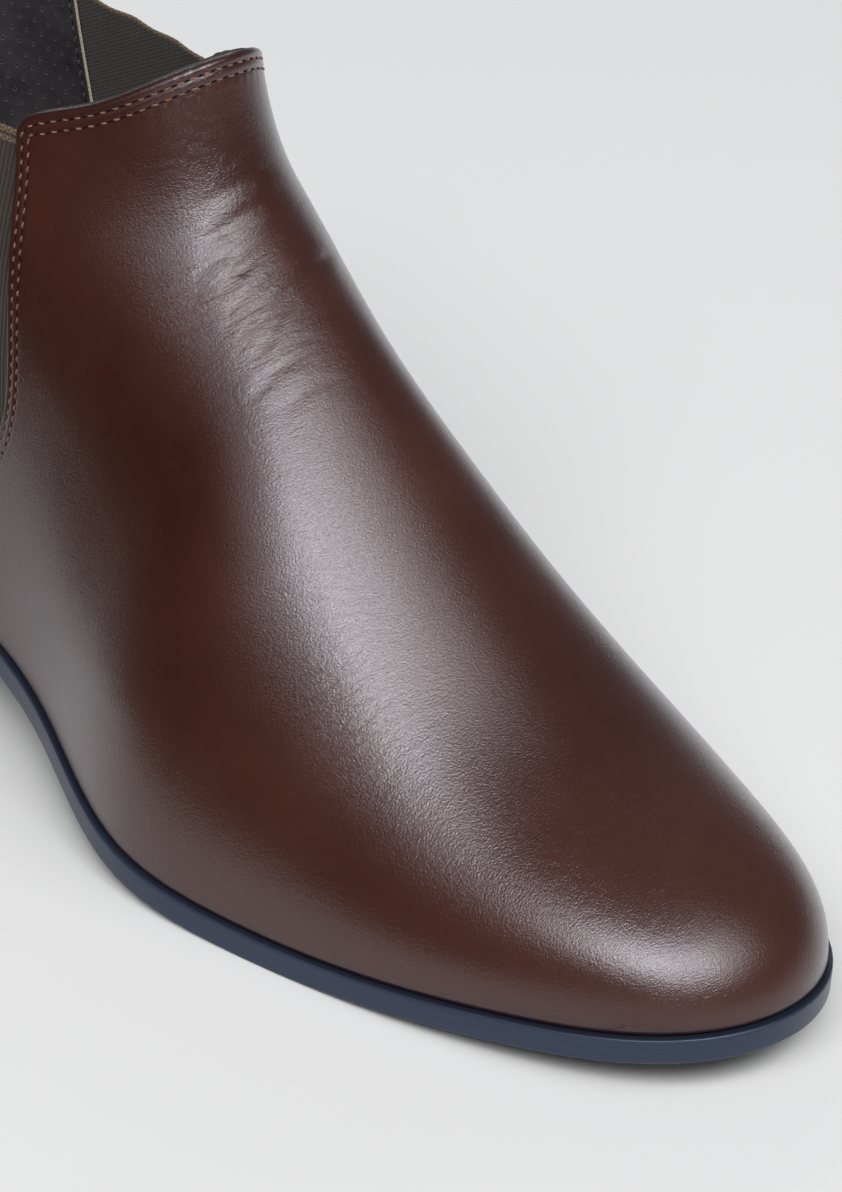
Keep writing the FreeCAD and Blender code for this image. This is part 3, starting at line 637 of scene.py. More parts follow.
class Panel:
    """Front or back piece of the upper, between its left and right edges and two turns at the sole."""

    def __init__(self, left, right, *turns):
        self.turns = turns
        (self.left, top_left), (self.right, top_right) = left, right
        self.top = joined(top_left, top_right[::-1])
        params = joined(self.left, self.top, self.right[::-1])
        collar = np.zeros(len(params))
        collar[len(self.left):len(self.left) + len(self.top) - 2] = 1.0
        self.edge = Edge(params, smoothed(collar, runs(on(params))))  # its value is 1 at the collar

    def grid(self, columns, rows, fine=3000):
        foot = np.zeros((fine, 2))
        foot[:, 1] = np.linspace(*self.turns, fine)
        bottom = even(foot, spaced(length(foot), NEAR_EDGE, NEAR_EDGE, columns))
        return patch(bottom, spread(self.top, len(bottom)), self.left, self.right, rows)


HEEL_X = back(HEEL_Z)
SEAM_TURN = float(np.arccos(2 * (SEAM[0][0] - HEEL_X) / (LAST - HEEL_X) - 1))
FRONT = Panel(*(side_edges(GORE_FRONT[::-1], FRONT_TOP, CORNER_FRONT, side, 0.0) for side in (-1, 1)),
              -SEAM_TURN, SEAM_TURN)
back_left, back_right = (side_edges(GORE_BACK, BACK_TOP_LINE, CORNER_BACK, side, math.pi)
                         for side in (1, -1))
for line in back_right:  # the back piece's turn runs on past half a turn
    line[:, 1] += math.tau
BACK = Panel(back_left, back_right, SEAM_TURN, math.tau - SEAM_TURN)


# ---- upper leather
ROWS_AT_GORE, ROWS_AT_COLLAR = (1.7, 3.3), (2.2, 4.35)  # distances of the two stitch rows
LEATHER, FOLDED = 1.3, 2.3  # thickness, and where the collar is folded
LINING_OUT, LINING_IN = 2.5, 3.3
SOLE_FOLD = 1.7  # radius where the leather turns under
TUCKS = (9.0, 4.0, 2.6)  # insets of the leather under the foot
BACK_SEEN = 13  # how much of the leather's back is made
GROOVE = (0.17, 0.42)  # (height, width) of the relief at a row,
SWELL_BETWEEN, SWELL_RIM = (0.13, 0.75), (0.12, 0.6)  # between the rows, next to the rim
PUCKER = (0.07, 1.1)  # and inside the rows


def fold(distance, radius):
    """Inward offset that rounds an edge."""
    d = np.clip(distance, 0, radius)
    return radius - np.sqrt(np.maximum(radius ** 2 - (radius - d) ** 2, 0))


def dip(value, middle, wide):
    return np.exp(-((value - middle) / wide) ** 2)


def relief(distance, middle, height, wide):
    return height * dip(distance, middle, wide)


def area(measure, middle, reach):
    """1 at a middle on the measured face, falling off over a reach along and across."""
    return np.exp(-(((measure - middle) / reach) ** 2).sum(-1))


def front_measure(points):
    """(run along the centre line, distance from it round the boot)."""
    tree = tree_of(np.stack([RIDGE_X, 0 * RIDGE_X, RIDGE_Z], -1))
    flat = points.reshape(-1, 3)
    found = [tree.find((p[0], 0, p[2])) for p in flat]
    y = flat[:, 1] - centre(flat[:, 0])
    around = np.sign(y) * np.hypot(y, [f[2] for f in found])
    return np.stack([RIDGE_RUN[[f[1] for f in found]], around], -1).reshape(*points.shape[:-1], 2)


def back_measure(points):
    """(height, distance round the boot from the middle of the back)."""
    around = runs(points)
    return np.stack([points[..., 2], around - around[len(around) // 2]], -1)


def outer_leather(panel, grid, uv, shape=0.0, flex=0.0):
    """Outer face with rounded, stitched edges, curled under at the sole, and the leather's back
    along its free edges. shape is an inward displacement, flex says how lined the leather is."""
    points, normal = on(grid), inward(grid)
    distance, collar, run = panel.edge.near(points)
    foot_run = runs(points, 1)
    thick = LEATHER + (FOLDED - LEATHER) * collar
    rows = [a + (b - a) * collar for a, b in zip(ROWS_AT_GORE, ROWS_AT_COLLAR)]
    pucker = 0.5 + 0.5 * np.sin(math.tau * run / 3.0 + 1.3 * np.sin(run / 7.0))
    offset = (fold(distance, thick / 2) + fold(foot_run, SOLE_FOLD)
              + sum(relief(distance, row, *GROOVE) for row in rows)
              - relief(distance, (rows[0] + rows[1]) / 2, *SWELL_BETWEEN)
              - relief(distance, rows[0] / 2 + 0.1, *SWELL_RIM)
              + pucker * relief(distance, rows[1] + 1.2, *PUCKER) * (0.35 + 0.65 * collar)
              + shape * smooth(4.0, 12.0, distance) * smooth(2.0, 9.0, foot_run))
    flat = unit(normal[:, 0] * (1, 1, 0))
    under = points[:, :1] + flat[:, None] * np.array(TUCKS)[:, None]
    under[..., 2] = feather(under[..., 0]) + 0.05
    outer = np.concatenate([under, points + normal * offset[..., None]], 1)
    inner = points + normal * (thick - fold(distance, thick / 2))[..., None]
    columns, rows_in, rows_out = *grid.shape[:2], outer.shape[1]
    faces_out = grid_faces(columns, rows_out)
    faces_in = grid_faces(columns, rows_in)[:, ::-1]
    faces_in = faces_in[distance.ravel()[faces_in].max(1) < BACK_SEEN] + columns * rows_out
    # Darker along the free edges and the stitch rows, and painted shade where the leather curls under at
    # the sole and lies under the foot.
    near_hole = sum(dip(distance, row, 0.5) for row in rows)
    dark_edges_and_sole_shade = np.clip(0.35 * near_hole + dip(distance, 0.0, 0.9) + 0.9 * dip(foot_run, 0.0, 2.2), 0, 1)
    values = {}
    for label, value, at_tucks in (("flex", flex + 0 * distance, 0.0), ("edge", dark_edges_and_sole_shade, 1.0)):
        whole = np.concatenate([np.full((columns, len(TUCKS)), at_tucks), value], 1)
        values[label] = np.concatenate([whole.ravel(), value.ravel()])
    whole = np.concatenate([np.repeat(uv[:, :1], len(TUCKS), 1), uv], 1)
    return (stacked(outer, inner), stacked(faces_out, faces_in), stacked(whole, uv), values,
            np.repeat([0, 1], [len(faces_out), len(faces_in)]))


# Creases over the front of the ankle: start and end as measured, then depth and width.
CREASES = [((197.5, -17), (201.5, 5), 0.30, 1.5), ((188.0, -17), (195.0, 4), 0.36, 1.6),
           ((178.5, -13), (188.5, 17), 0.42, 1.7), ((173.0, -17), (180.0, -5), 0.22, 1.4),
           ((166.0, -24), (169.5, -8), 0.16, 1.6), ((205.5, -12), (207.5, 8), 0.14, 1.6),
           ((183.0, -19), (186.5, -9), 0.18, 1.3), ((192.5, -21), (195.0, -10), 0.18, 1.3),
           ((160.0, -20), (162.5, -6), 0.12, 1.8)]
CREASE_DEPTH, CREASE_NARROW, CREASE_BOW = 0.72, 0.75, 1.1
CREASE_RIDGE, WAVE_DEPTH = 0.45, 0.05


def creases(measure):
    """Inward displacement of the ankle creases, each with a soft ridge on both sides."""
    total = np.zeros(measure.shape[:-1])
    for start, end, depth, width in CREASES:
        step = np.subtract(end, start)
        reach = np.linalg.norm(step)
        share = ((measure - start) @ step) / reach ** 2
        off = (measure - start) @ np.array([step[1], -step[0]]) / reach
        off = (off - CREASE_BOW * np.sin(np.pi * np.clip(share, 0, 1))) / CREASE_NARROW
        fade = smooth(-0.12, 0.28, share) * (1 - smooth(0.72, 1.12, share))
        ridges = CREASE_RIDGE * dip(np.abs(off), 2.2 * width, 1.3 * width)
        total += CREASE_DEPTH * depth * fade * (dip(off, 0, width) - ridges)
    run, around = measure[..., 0], measure[..., 1]
    waves = (np.sin(run / 1.75 + around / 9 + 1.2 * np.sin(around / 5.0))
             * np.sin(around / 6.5 + run / 11))
    return total + WAVE_DEPTH * area(measure, (184, -8), (20, 22)) * waves


def flexing(measure):
    """How strongly the leather is lined by bending: the ankle, and faintly the ball of the foot."""
    return (0.9 * area(measure, (183, -9), (21, 24)) + 0.55 * area(measure, (99, -43), (24, 14))
            + 0.35 * area(measure, (96, 36), (22, 18)))


def compact(points, faces, uv, values, index, reach=0.02):
    """Drops unused points and joins those that meet, so that edges shade as one surface."""
    used, corners = np.unique(faces, return_inverse=True)
    keys = np.round(points[used] / reach).astype(np.int64)
    _, first, met = np.unique(keys, axis=0, return_index=True, return_inverse=True)
    lists = [list(dict.fromkeys(f)) for f in met.ravel()[corners.reshape(faces.shape)].tolist()]
    keep, kept = [len(f) > 2 for f in lists], used[first]
    return (points[kept], [f for f in lists if len(f) > 2], uv[kept],
            {label: value[kept] for label, value in values.items()}, index[keep])


def link(name, data):
    thing = bpy.data.objects.new(name, data)
    bpy.context.scene.collection.objects.link(thing)
    return thing


def add(name, points, faces, uv, values, index, materials, slot, flip=False, merge=True):
    """Mesh object from work-frame points, with one pair of uv per point and one material per face."""
    if merge:
        points, faces, uv, values, index = compact(points, faces, uv, values, index)
    if flip:
        faces = [f[::-1] for f in faces]
    mesh = bpy.data.meshes.new(name)
    mesh.from_pydata(((points - ORIGIN) * MM).tolist(), [], faces)
    for material in materials:
        mesh.materials.append(material)
    mesh.polygons.foreach_set("material_index", np.asarray(index, np.int32))
    mesh.polygons.foreach_set("use_smooth", np.ones(len(mesh.polygons), bool))
    corner = np.zeros(len(mesh.loops), np.int32)
    mesh.loops.foreach_get("vertex_index", corner)
    layer = mesh.uv_layers.new(name="UVMap")
    layer.data.foreach_set("uv", np.asarray(uv, np.float32)[corner].ravel())
    for label, value in values.items():
        attribute = mesh.attributes.new(label, "FLOAT", "POINT")
        attribute.data.foreach_set("value", np.asarray(value, np.float32))
    mesh.validate()
    mesh.update()
    return link(name, mesh)


def bend_shaft(piece):
    """Piece at the back of the boot, with its placement baked into its points; it is not bent."""
    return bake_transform(piece)


grid = FRONT.grid(300, (NEAR_FOOT, NEAR_EDGE, 180))
measure = front_measure(on(grid))
piece = outer_leather(FRONT, grid, measure, creases(measure), flexing(measure))
vamp = add("vamp_leather", *piece, [UPPER, UPPER_EDGE], "upper_leather")
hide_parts("vamp")
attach(vamp, "foot")

grid = BACK.grid(190, (NEAR_FOOT, NEAR_EDGE, 70))
piece = outer_leather(BACK, grid, back_measure(on(grid)))
quarter = add("quarter_leather", *piece, [UPPER, UPPER_EDGE], "upper_leather")
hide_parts("quarter_lower", "quarter_upper")
bend_shaft(quarter)


# ---- lining
def lining_piece(panel, grid, uv):
    """Inner face of the lining, with its cut edge and a strip of its back along the free edges."""
    points, normal = on(grid), inward(grid)
    distance, collar, _ = panel.edge.near(points)
    round_edge = fold(distance, (LINING_IN - LINING_OUT) / 2)
    seen = points + normal * (LINING_IN - round_edge)[..., None]
    hidden = points + normal * (LINING_OUT + round_edge)[..., None]
    faces = grid_faces(*grid.shape[:2])
    far, at_collar = distance.ravel()[faces].max(1), collar.ravel()[faces].max(1) >= 0.5
    strip = far < 3
    index = np.concatenate([(far < 0.75) & ~at_collar, ~at_collar[strip]]).astype(int)
    return (stacked(seen, hidden), stacked(faces[:, ::-1], faces[strip] + distance.size),
            stacked(uv, uv), {}, index)


grid = FRONT.grid(150, ([0], NEAR_LINING, 70))
lining = add("vamp_lining_leather", *lining_piece(FRONT, grid, front_measure(on(grid))),
             [LINING, LINING_EDGE], "lining_leather")
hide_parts("vamp_lining")
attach(lining, "foot")

grid = BACK.grid(120, ([0], NEAR_LINING, 50))
lining = add("quarter_lining_leather", *lining_piece(BACK, grid, back_measure(on(grid))[..., ::-1]),
             [PERFORATED, LINING_EDGE], "lining_leather")
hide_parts("quarter_lining_lower", "quarter_lining_upper")
bend_shaft(lining)


# ---- gores
GRIP = 7.0  # width sewn under the leather
ELASTIC_OUT, ELASTIC_IN = 1.5, 2.3
RIB_HEIGHT, RIB_PITCH, BAND_HEIGHT = 0.09, 1.15, 0.16
TOP_WAVE, TOP_LIFT = (0.26, 13.5, 5.0), (0.10, 16.0, 3.0)  # height, pitch and reach below the top


def top_wave(x, drop, phase, height, pitch, reach):
    return height * np.sin(x * math.tau / pitch + phase) * np.exp(-drop / reach)


def gore_grid(side, columns, rows):
    """Elastic panel, wider than its window by the grip."""
    top = GORE_TOP - 0.4
    lowest, flank = (84, 54 - GRIP), (66 - GRIP, 64 - 0.6 * GRIP)
    front_line = through([lowest, *((x + GRIP, z) for x, z in GORE_FRONT[3:0:-1]), (92 + GRIP, top)])
    back_line = through([lowest, flank, *((x - GRIP, z) for x, z in GORE_BACK[2:4]), (45 - GRIP, top)])
    foot_front, front_line = split_at(front_line, (100, 64))
    foot_back, back_line = split_at(back_line, flank)
    top_line = through([back_line[-1], front_line[-1]])
    bottom, left, right, top = (on_face(line, side) for line in (
        joined(foot_back[::-1], foot_front), back_line, front_line, top_line))
    return patch(spread(bottom, columns), spread(top, columns), left, right, rows)


def gore(name, side):
    """Ribbed elastic outside, plain knit inside, with a woven edge that waves a little at the top."""
    grid = gore_grid(side, 150, ([0], NEAR_GORE, 60))
    points, normal = on(grid), inward(grid)
    run, around = runs(points, 1), runs(points)
    drop = run[:, -1:] - run
    rim = np.minimum(np.minimum(drop, run), np.minimum(around, around[-1] - around))
    x = points[..., 0]
    edge = fold(rim, 0.4)
    rib = RIB_HEIGHT * np.abs(np.sin(x * math.pi / RIB_PITCH)) * smooth(3.2, 3.8, drop)
    band = BAND_HEIGHT * (dip(drop, 0.6, 0.5) + dip(drop, 2.4, 0.5))
    band = band * (0.7 + 0.3 * np.sin(x * math.tau / 0.9))
    raised = (rib + band) * smooth(0.0, 0.3, rim)
    wave = top_wave(x, drop, side, *TOP_WAVE) * smooth(42, 50, x) * smooth(-96, -88, -x)
    lifted = points.copy()
    lifted[..., 2] += top_wave(x, drop, 2 * side, *TOP_LIFT)
    outer = lifted + normal * (ELASTIC_OUT + edge - raised + wave)[..., None]
    inner = lifted + normal * (ELASTIC_IN - edge + wave)[..., None]
    faces = grid_faces(*grid.shape[:2])
    depth = drop.ravel()[faces].mean(1)
    stripe = (depth < 1.25) | ((depth > 1.9) & (depth < 3.0))
    index = np.concatenate([np.where(stripe, 1, 0), np.where(depth < 0.8, 1, 2)])
    uv = points[..., [0, 2]]
    made = add(name, stacked(outer, inner), stacked(faces, faces[:, ::-1] + rim.size), stacked(uv, uv),
               {}, index, [ELASTIC, SELVEDGE, KNIT], "elastic", flip=side > 0)
    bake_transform(made)
    return made


for name, side in (("gore_lateral", -1), ("gore_medial", 1)):
    elastic = gore(name + "_elastic", side)
    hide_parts(name)


# ---- stitches
PITCH, LINING_PITCH = 2.9, 2.6
LINING_ROW, LINING_ROW_Z = 2.0, (62.0, 137.0)
THREAD_THICK, THREAD_LENGTH = 0.20, 0.26  # radius, and half length as a share of the pitch
THREAD_RISE, THREAD_SINK = 0.16, 0.50  # height over the leather, and how far the ends dip
THREAD_AROUND, THREAD_STEPS, HOLE_CORNERS = 7, 7, 8


def slide(params, shift):
    """Params of the points of the face that lie a tangent shift away."""
    goal = on(params) + shift
    at, tiny = params.copy(), 1e-4
    for _ in range(6):
        a, b = ((on(at + step) - on(at - step)) / (2 * tiny) for step in ((tiny, 0), (0, tiny)))
        left = goal - on(at)
        aa, ab, bb = (a * a).sum(-1), (a * b).sum(-1), (b * b).sum(-1)
        al, bl = (a * left).sum(-1), (b * left).sum(-1)
        scale = np.maximum(aa * bb - ab * ab, 1e-12)
        at += np.stack([(bb * al - ab * bl) / scale, (aa * bl - ab * al) / scale], -1)
    return at


def beside(edge, distances):
    """Line on the face at a distance (one per sample) inside an edge."""
    along = unit(np.gradient(edge.points, axis=0))
    return slide(edge.params, np.cross(inward(edge.params), along) * distances[:, None])


def stitch_row(line, pitch, depth=0.12):
    """Centres, directions and outward normals of the stitches on a line, and the needle holes."""
    run = runs(on(line))
    count = int(run[-1] / pitch)
    spots = pitch * (0.5 + np.arange(count)) + (run[-1] - count * pitch) / 2
    before, at, after, gap = (resampled(line, run, spots + d) for d in (-0.3, 0.0, 0.3, pitch / 2))
    return (on(at) + inward(at) * depth, unit(on(after) - on(before)), -inward(at),
            on(gap) + inward(gap) * (depth - 0.05))


def ring(count):
    """Sines and cosines round a circle, ready to scale a vector each."""
    angle = math.tau * np.arange(count) / count
    return np.sin(angle)[:, None], np.cos(angle)[:, None]


def stitches(name, rows, pitch, slot="upper_leather", material=THREAD):
    """Threads that dip into the leather at both ends, and dark discs of painted shade for the needle
    holes between them.
    """
    k = np.concatenate([np.arange(len(row[0])) for row in rows])[:, None]
    middle, along, out, hole = (np.concatenate(part) for part in zip(*rows))
    side = np.cross(along, out)
    # No two stitches lean or reach quite alike.
    leaning = (along + side * (0.15 + 0.05 * np.sin(2.7 * k))) * (0.93 + 0.07 * np.sin(4.1 * k + 1))
    s = np.linspace(-1, 1, THREAD_STEPS)[:, None, None]
    girth = THREAD_THICK * np.sqrt(np.maximum(1 - 0.55 * s ** 6, 0.05))
    middle, leaning, up, across = (v[:, None, None] for v in (middle, leaning, out, side))
    sine, cosine = ring(THREAD_AROUND)
    threads = (middle + leaning * (THREAD_LENGTH * pitch * s) + up * (THREAD_RISE - THREAD_SINK * s ** 4)
               + across * cosine * girth + up * sine * girth * 0.8)
    sine, cosine = ring(HOLE_CORNERS)
    holes = hole[:, None] + along[:, None] * cosine * 0.20 * pitch + side[:, None] * sine * 0.24
    points = np.concatenate([threads.reshape(len(k), -1, 3), holes], 1)
    uv = np.zeros((*threads.shape[1:3], 2))
    uv[..., 0] = np.arange(THREAD_AROUND) / THREAD_AROUND
    uv[..., 1] = THREAD_LENGTH * pitch * s[..., 0]
    uv = stacked(uv, np.zeros((HOLE_CORNERS, 2)))
    quads = [(i + a, i + b, i + b + THREAD_AROUND, i + a + THREAD_AROUND)
             for i in range(0, THREAD_AROUND * (THREAD_STEPS - 1), THREAD_AROUND)
             for a, b in zip(range(THREAD_AROUND), [*range(1, THREAD_AROUND), 0])]
    one = quads + [tuple(range(THREAD_AROUND * THREAD_STEPS, len(uv)))]
    faces = [tuple(start + p for p in f) for start in range(0, len(k) * len(uv), len(uv)) for f in one]
    return add(name, points.reshape(-1, 3), faces, np.tile(uv, (len(k), 1)), {},
               np.tile([0] * len(quads) + [1], len(k)), [material, HOLE_SHADE], slot, merge=False)


def edge_rows(edge, keep=3):
    """Both stitch rows of a leather piece, which end a little above the sole."""
    inside = (edge.run > keep) & (edge.run < edge.run[-1] - keep)
    return [stitch_row(beside(edge, at_gore + (at_collar - at_gore) * edge.value)[inside], PITCH)
            for at_gore, at_collar in zip(ROWS_AT_GORE, ROWS_AT_COLLAR)]


def lining_edge_rows(edge):
    """One row on the inner face of the back lining, along each gore."""
    line = beside(edge, np.full(len(edge.run), LINING_ROW))
    height = on(line)[:, 2]
    at_gore = (edge.value < 0.01) & (height > LINING_ROW_Z[0]) & (height < LINING_ROW_Z[1])
    rows = []
    for half in (edge.run < edge.run[-1] / 2, edge.run >= edge.run[-1] / 2):
        middle, along, out, hole = stitch_row(line[at_gore & half], LINING_PITCH, LINING_IN + 0.09)
        rows.append((middle, along, -out, hole))
    return rows


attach(stitches("vamp_stitches", edge_rows(FRONT.edge), PITCH), "foot")
bend_shaft(stitches("quarter_stitches", edge_rows(BACK.edge), PITCH))
bend_shaft(stitches("lining_stitches", lining_edge_rows(BACK.edge), LINING_PITCH, "lining_leather",
                    DARK_THREAD))


# ---- bottom
SOLE_THICK, SOLE_RIM = 5.6, 1.2
PAD_LOW, PAD_RISE, PAD_FRONT, PAD_RAMP = 4.7, 2.0, 90.0, (102.0, 66.0)  # over the feather line
SOCK_LOW, SOCK_THICK = 4.85, 0.8
PAD_INSET, SOCK_INSET = 7.45, 4.85
RIM_COUNT = 720
GAP_SHADE_INSETS = (-0.85, -0.5)  # where the painted shade of the gap over the sole sets in
TREAD_X, TREAD_INSET = ((120, 122), (262, 264)), (4.0, 5.0)  # where the ribs set in and end


def plan_point(angle):
    """Feather outline in plan, from the heel along the lateral side to the toe and back."""
    x = HEEL_X + (LAST - HEEL_X) * (1 - np.cos(angle)) / 2
    lateral_side = np.sin(angle) > 0
    half = plan(x, lateral_side) * rounded(x - HEEL_X, *BACK_ROUND)
    return np.stack([x, centre(x) + np.where(lateral_side, -1, 1) * half], -1)


def plan_line(inset, start, end, count, tiny=0.004, fine=6000):
    """Even points of the feather outline between two angles, moved inwards."""
    angles = np.linspace(start, end, fine)
    run = runs(plan_point(angles))
    angles = np.interp(np.linspace(0, run[-1], count), run, angles)
    along = unit(plan_point(angles + tiny) - plan_point(angles - tiny))
    return plan_point(angles) + np.stack([-along[:, 1], along[:, 0]], -1) * inset


def whole_outline(inset):
    """Closed ring; its points i and -i face each other across the boot."""
    half, other = (plan_line(inset, start, math.pi, RIM_COUNT // 2 + 1) for start in (0, math.tau))
    return np.concatenate([half, other[-2:0:-1]])


def heel_outline(front):
    """The same for the heel end only, closed by a straight front at front less the inset."""
    def outline(inset):
        x, y = whole_outline(inset).T
        limit = front - inset
        squeeze = np.clip((x - limit) / (LAST - limit), 0, 1)
        lateral_y, medial_y = (np.interp(limit, x[part], y[part])
                               for part in (slice(RIM_COUNT // 2), slice(None, RIM_COUNT // 2, -1)))
        middle = (lateral_y + medial_y) / 2
        edge = np.where(y < middle, lateral_y, medial_y)
        closed = np.where(squeeze > 0, middle + (edge - middle) * (1 - squeeze), y)
        return np.stack([np.minimum(x, limit), closed], -1)
    return outline


def slab(name, outline, profile, place, materials, slot, split, steps=(14, 14)):
    """Closed layer of the bottom. profile lists (inset, height) from the upper face over the rim to
    the lower face; place turns (x, height) into z. Faces from profile step split on take the second
    material, and both faces are closed by rows of steps points across the boot."""
    rings = []
    for inset, height in profile:
        line = outline(inset)
        rings.append(np.column_stack([line, place(line[:, 0], height)]))
    count = len(rings[0])
    points = np.concatenate(rings)
    # mask of the painted gap shade: 1 on the top face inboard of the rim
    gap_shade = np.repeat([smooth(*GAP_SHADE_INSETS, inset) for inset, _ in profile], count)
    drop, run = runs(np.array(profile)), runs(rings[len(rings) // 2])
    uv = np.stack(np.meshgrid(drop, run, indexing="ij")[::-1], -1).reshape(-1, 2)
    i = np.arange(count)
    j = (i + 1) % count
    faces = [k * count + np.stack([i, j, j + count, i + count], -1) for k in range(len(rings) - 1)]
    index = [np.full(count, int(k >= split)) for k in range(len(rings) - 1)]
    half = np.arange(count // 2 + 1)
    for k, turn, material, across in ((0, -1, 0, steps[0]), (len(rings) - 1, 1, 1, steps[1])):
        near, far = points[k * count + half], points[k * count + (-half) % count]
        share = np.linspace(0, 1, across)[None, :, None]
        inner = (near[:, None] * (1 - share) + far[:, None] * share).reshape(-1, 3)
        faces.append(grid_faces(len(half), across, len(points))[:, ::turn])
        index.append(np.full(len(faces[-1]), material))
        points, uv = np.concatenate([points, inner]), np.concatenate([uv, inner[:, :2]])
    x, y = points[:, 0], points[:, 1]
    inside = plan(x, y < centre(x)) - np.abs(y - centre(x))
    tread = smooth(*TREAD_INSET, inside) * smooth(*TREAD_X[0], x) * (1 - smooth(*TREAD_X[1], x))
    gap_shade = np.concatenate([gap_shade, np.ones(len(points) - len(gap_shade))])
    made = add(name, points, np.concatenate(faces), uv, {"tread": tread, "gap_shade": gap_shade},
               np.concatenate(index), materials, slot)
    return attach(made, "foot")


def rim_profile(outer, high, low, radius, deep):
    """Upper face, rounded rim that stands out by outer, and lower face."""
    bend = np.linspace(0, math.pi / 2, 6)
    near = radius - outer
    upper = [(near - radius * math.sin(a), high - radius + radius * math.cos(a)) for a in bend]
    side = [(-outer, high - radius + (low - high + 2 * radius) * share) for share in (0.25, 0.5, 0.75)]
    lower = [(near - radius * math.cos(a), low + radius - radius * math.sin(a)) for a in bend]
    return [(deep, high)] + upper + side + lower + [(deep, low)]


def pad_rise(x):
    return PAD_RISE * smooth(*PAD_RAMP, x)


sole = slab("outsole_edge", whole_outline, rim_profile(SOLE_RIM, 0.0, -SOLE_THICK, 0.5, 3.0),
            lambda x, height: feather(x) + height, [SOLE, TREAD], "outsole", 15, (14, 60))
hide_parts("outsole")

sock = slab("sock_leather_liner", whole_outline, rim_profile(-SOCK_INSET, SOCK_THICK, 0.0, 0.35, 9.0),
            lambda x, height: feather(x) + SOCK_LOW + pad_rise(x) + height, [SOCK, LINING_EDGE],
            "sock_leather", 7, (40, 14))
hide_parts("sock_liner")

crown = [(PAD_INSET + 12 * share, 1 - 0.75 * (1 - share) ** 3) for share in (1, 0.8, 0.6, 0.4, 0.2, 0.1)]
pad = slab("heel_pad_foam", heel_outline(PAD_FRONT), crown + [(PAD_INSET, 0.16), (PAD_INSET + 0.4, 0.0)],
           lambda x, height: feather(x) + PAD_LOW + (pad_rise(x) - 0.06) * height + 0.03,
           [FOAM, FOAM], "foam", 6)
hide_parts("heel_pad")


# ---- pull loop
TAB_WIDE, TAB_PLY, TAB_X = 20.0, 1.0, 12.3
TAB_HALF = [(0.6, 150.8), (0.62, 153.6), (1.6, 156.6), (4.0, 161.5), (4.95, 167), (3.9, 172.8),
            (0, 176.0)]  # (distance from its middle, height)


def squared(value, power):
    return np.sign(value) * np.abs(value) ** power


def pull_loop():
    """Folded strip of webbing whose two legs meet at the top line."""
    half = np.array(TAB_HALF)
    line = through(np.concatenate([half, (half * (-1, 1))[-2::-1]]), 150)
    along = unit(np.gradient(line, axis=0))
    turn = np.linspace(0, math.tau, 49)[:-1]
    across = TAB_WIDE / 2 * squared(np.cos(turn), 0.35)
    raised = np.tile(TAB_PLY / 2 * squared(np.sin(turn), 0.55), (len(line), 1))
    raised[[0, -1]] *= 0.05  # both ends taper
    points = np.zeros((*raised.shape, 3))
    points[..., 0] = TAB_X + line[:, :1] + along[:, 1:] * raised
    points[..., 1] = across
    points[[0, -1], :, 1] *= 0.98
    points[..., 2] = line[:, 1:] - along[:, :1] * raised
    uv = np.stack(np.broadcast_arrays(across, runs(line)[:, None]), -1)
    columns, rows = raised.shape
    i, j = np.meshgrid(np.arange(columns - 1), np.arange(rows), indexing="ij")
    a, b = i * rows + j, i * rows + (j + 1) % rows
    faces = np.stack([a, b, b + rows, a + rows], -1).reshape(-1, 4)
    caps = [tuple(range(rows)), tuple(range((columns - 1) * rows, columns * rows))[::-1]]
    return add("pull_tab_webbing", points.reshape(-1, 3), faces.tolist() + caps, uv.reshape(-1, 2), {},
               np.zeros(len(faces) + 2), [WEBBING], "webbing", merge=False)


loop = pull_loop()
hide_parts("pull_tab_loop")
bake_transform(loop)

# ---- CAD nodes that keep their shape
for material, names in ((BOARD, ("heel_lift_upper", "heel_lift_middle", "heel_lift_lower")),
                        (RUBBER, ("top_piece",)), (NAIL, ("heel_nails", "top_piece_nails")),
                        (SPRING, ("shank",)), (BRASS, ("shank_rivets",)), (CORK, ("cork_filler",)),
                        (INSOLE_BOARD, ("insole",)), (FELT, ("toe_puff", "heel_counter")),
                        (WEBBING, ("pull_tab_anchor",))):
    for name in names:
        for held in nodes[name].material_slots:
            held.material = material


# ---- stage
FLOOR_REACH, FLOOR_Z = 9, -0.0001  # metres, as everything on the stage
FLAG_LINE = [(-0.36, 0.10), (-0.34, -0.06), (-0.22, -0.115), (0.06, -0.125), (0.12, -0.16)]
FLAG_LOW, FLAG_HIGH = 0.001, 0.42
WORLD_TINT, WORLD_STRENGTH = (0.82, 0.86, 1.0, 1), 0.11
BOX_FAR, BOX_WIDE, BOX_TALL, BOX_AIM = 5.0, 3.05, 1.95, (0.03, 0.0, 0.06)
BOXES = {"softbox_left": (-63, 46, 200), "softbox_front": (-26, 50, 165),
         "softbox_right": (10, 54, 75), "softbox_back": (150, 30, 55)}  # azimuth, elevation, watts
LENS, SENSOR = 155.2, 36.0  # millimetres
CAMERA_AZIMUTH, CAMERA_ELEVATION, CAMERA_ROLL = -46.8, 29.76, 4.21
CAMERA_FAR, CAMERA_AIM = 1.061, (0.03365, 0.0091, 0.0571)


def floor_material():
    s = Shader("studio_floor")
    s.finish((0.555, 0.555, 0.555, 1), 1.0, Specular_IOR_Level=0.0)
    glow = s.node("Emission", "Emission", Color=(0.79, 0.79, 0.79, 1), Strength=0.03)
    both = s.node("AddShader", "Shader")
    surface = next(n for n in s.tree.nodes if n.type == "OUTPUT_MATERIAL").inputs["Surface"]
    for socket, wire in zip(both.socket.node.inputs, (Wire(s, s.principled.outputs["BSDF"]), glow)):
        s.put(socket, wire)
    s.put(surface, both)
    return s.material


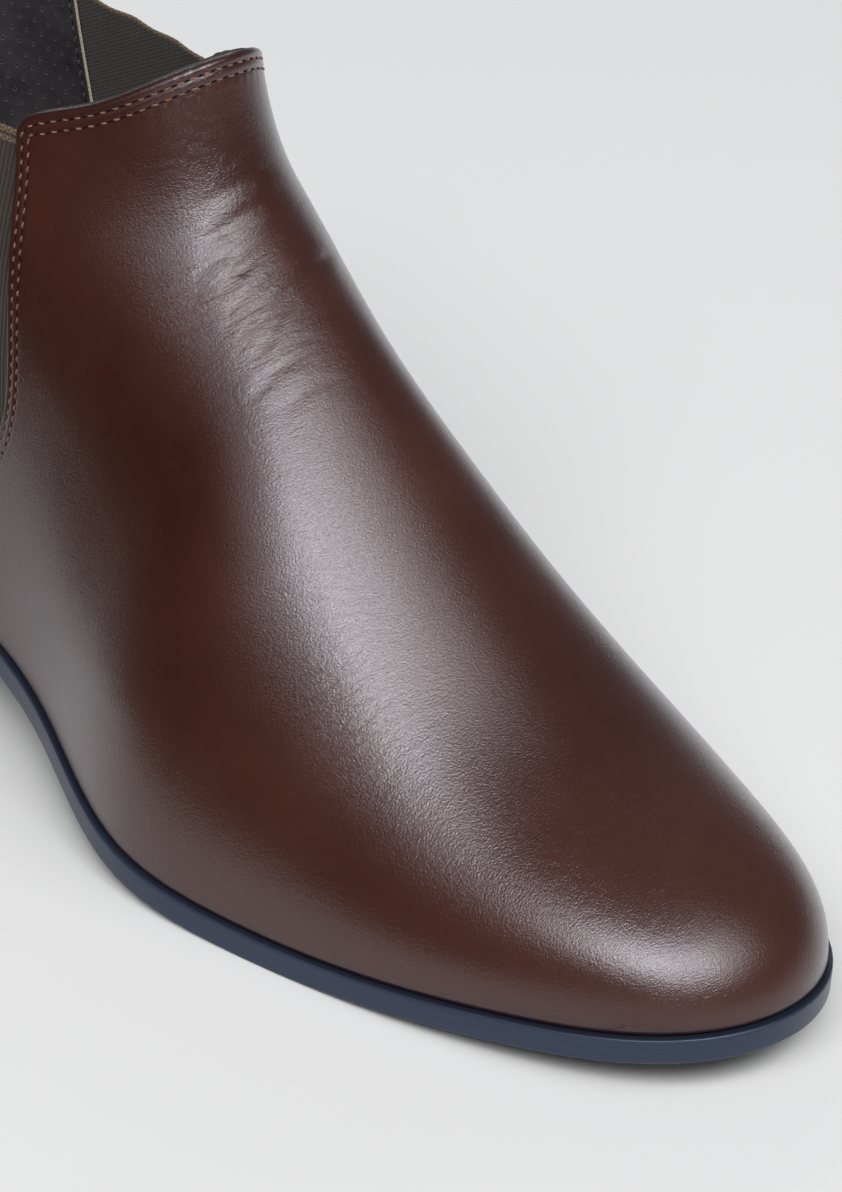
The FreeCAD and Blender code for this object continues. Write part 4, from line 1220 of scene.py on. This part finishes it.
def flag_material():
    s = Shader("studio_flag")
    tone = s.ramp(s.noise(s.place(), 40, 3), 0.3, 0.02, 0.7, 0.035)
    return s.finish(tone, 1.0, Specular_IOR_Level=0.0)


def backdrop(name, points, faces, material):
    mesh = bpy.data.meshes.new(name)
    mesh.from_pydata(points, [], faces)
    mesh.materials.append(material)
    return link(name, mesh)


def toward(azimuth, elevation):
    """Unit vector in a direction given in degrees, azimuth from +X."""
    a, e = math.radians(azimuth), math.radians(elevation)
    return Vector((math.cos(a) * math.cos(e), math.sin(a) * math.cos(e), math.sin(e)))


def aimed(thing, aim, away, distance, roll=0.0):
    """Puts a light or camera at a distance from its aim, and faces it there."""
    thing.location = Vector(aim) + away * distance
    thing.rotation_mode = "QUATERNION"
    turned = away.to_track_quat("Z", "Y").to_matrix() @ Matrix.Rotation(math.radians(roll), 3, "Z")
    thing.rotation_quaternion = turned.to_quaternion()


reach = FLOOR_REACH
floor = backdrop("floor", [(-reach, -reach, FLOOR_Z), (reach, -reach, FLOOR_Z), (reach, reach, FLOOR_Z),
                           (-reach, reach, FLOOR_Z)], [(0, 1, 2, 3)], floor_material())

# A dark card beside the heel, out of sight, keeps the side of the boot free of floor glare.
card = backdrop("flag", [(x, y, z) for x, y in FLAG_LINE for z in (FLAG_LOW, FLAG_HIGH)],
                [(k, k + 2, k + 3, k + 1) for k in (0, 2, 4, 6)], flag_material())
card.visible_camera = card.visible_diffuse = card.visible_shadow = False

world = bpy.data.worlds.new("studio")
world.use_nodes = True
background = world.node_tree.nodes["Background"]
background.inputs["Color"].default_value = WORLD_TINT
background.inputs["Strength"].default_value = WORLD_STRENGTH
bpy.context.scene.world = world

for name, (azimuth, elevation, watts) in BOXES.items():
    light = bpy.data.lights.new(name, "AREA")
    light.shape = "RECTANGLE"
    light.size, light.size_y, light.energy = BOX_WIDE, BOX_TALL, watts
    aimed(link(name, light), BOX_AIM, toward(azimuth, elevation), BOX_FAR)

lens = bpy.data.cameras.new("camera")
lens.sensor_width, lens.lens = SENSOR, LENS
lens.clip_start, lens.clip_end = 0.05, 50
eye = link("camera", lens)
aimed(eye, CAMERA_AIM, toward(CAMERA_AZIMUTH, CAMERA_ELEVATION), CAMERA_FAR, CAMERA_ROLL)
bpy.context.scene.camera = eye
bpy.context.scene.view_settings.view_transform = "Standard"
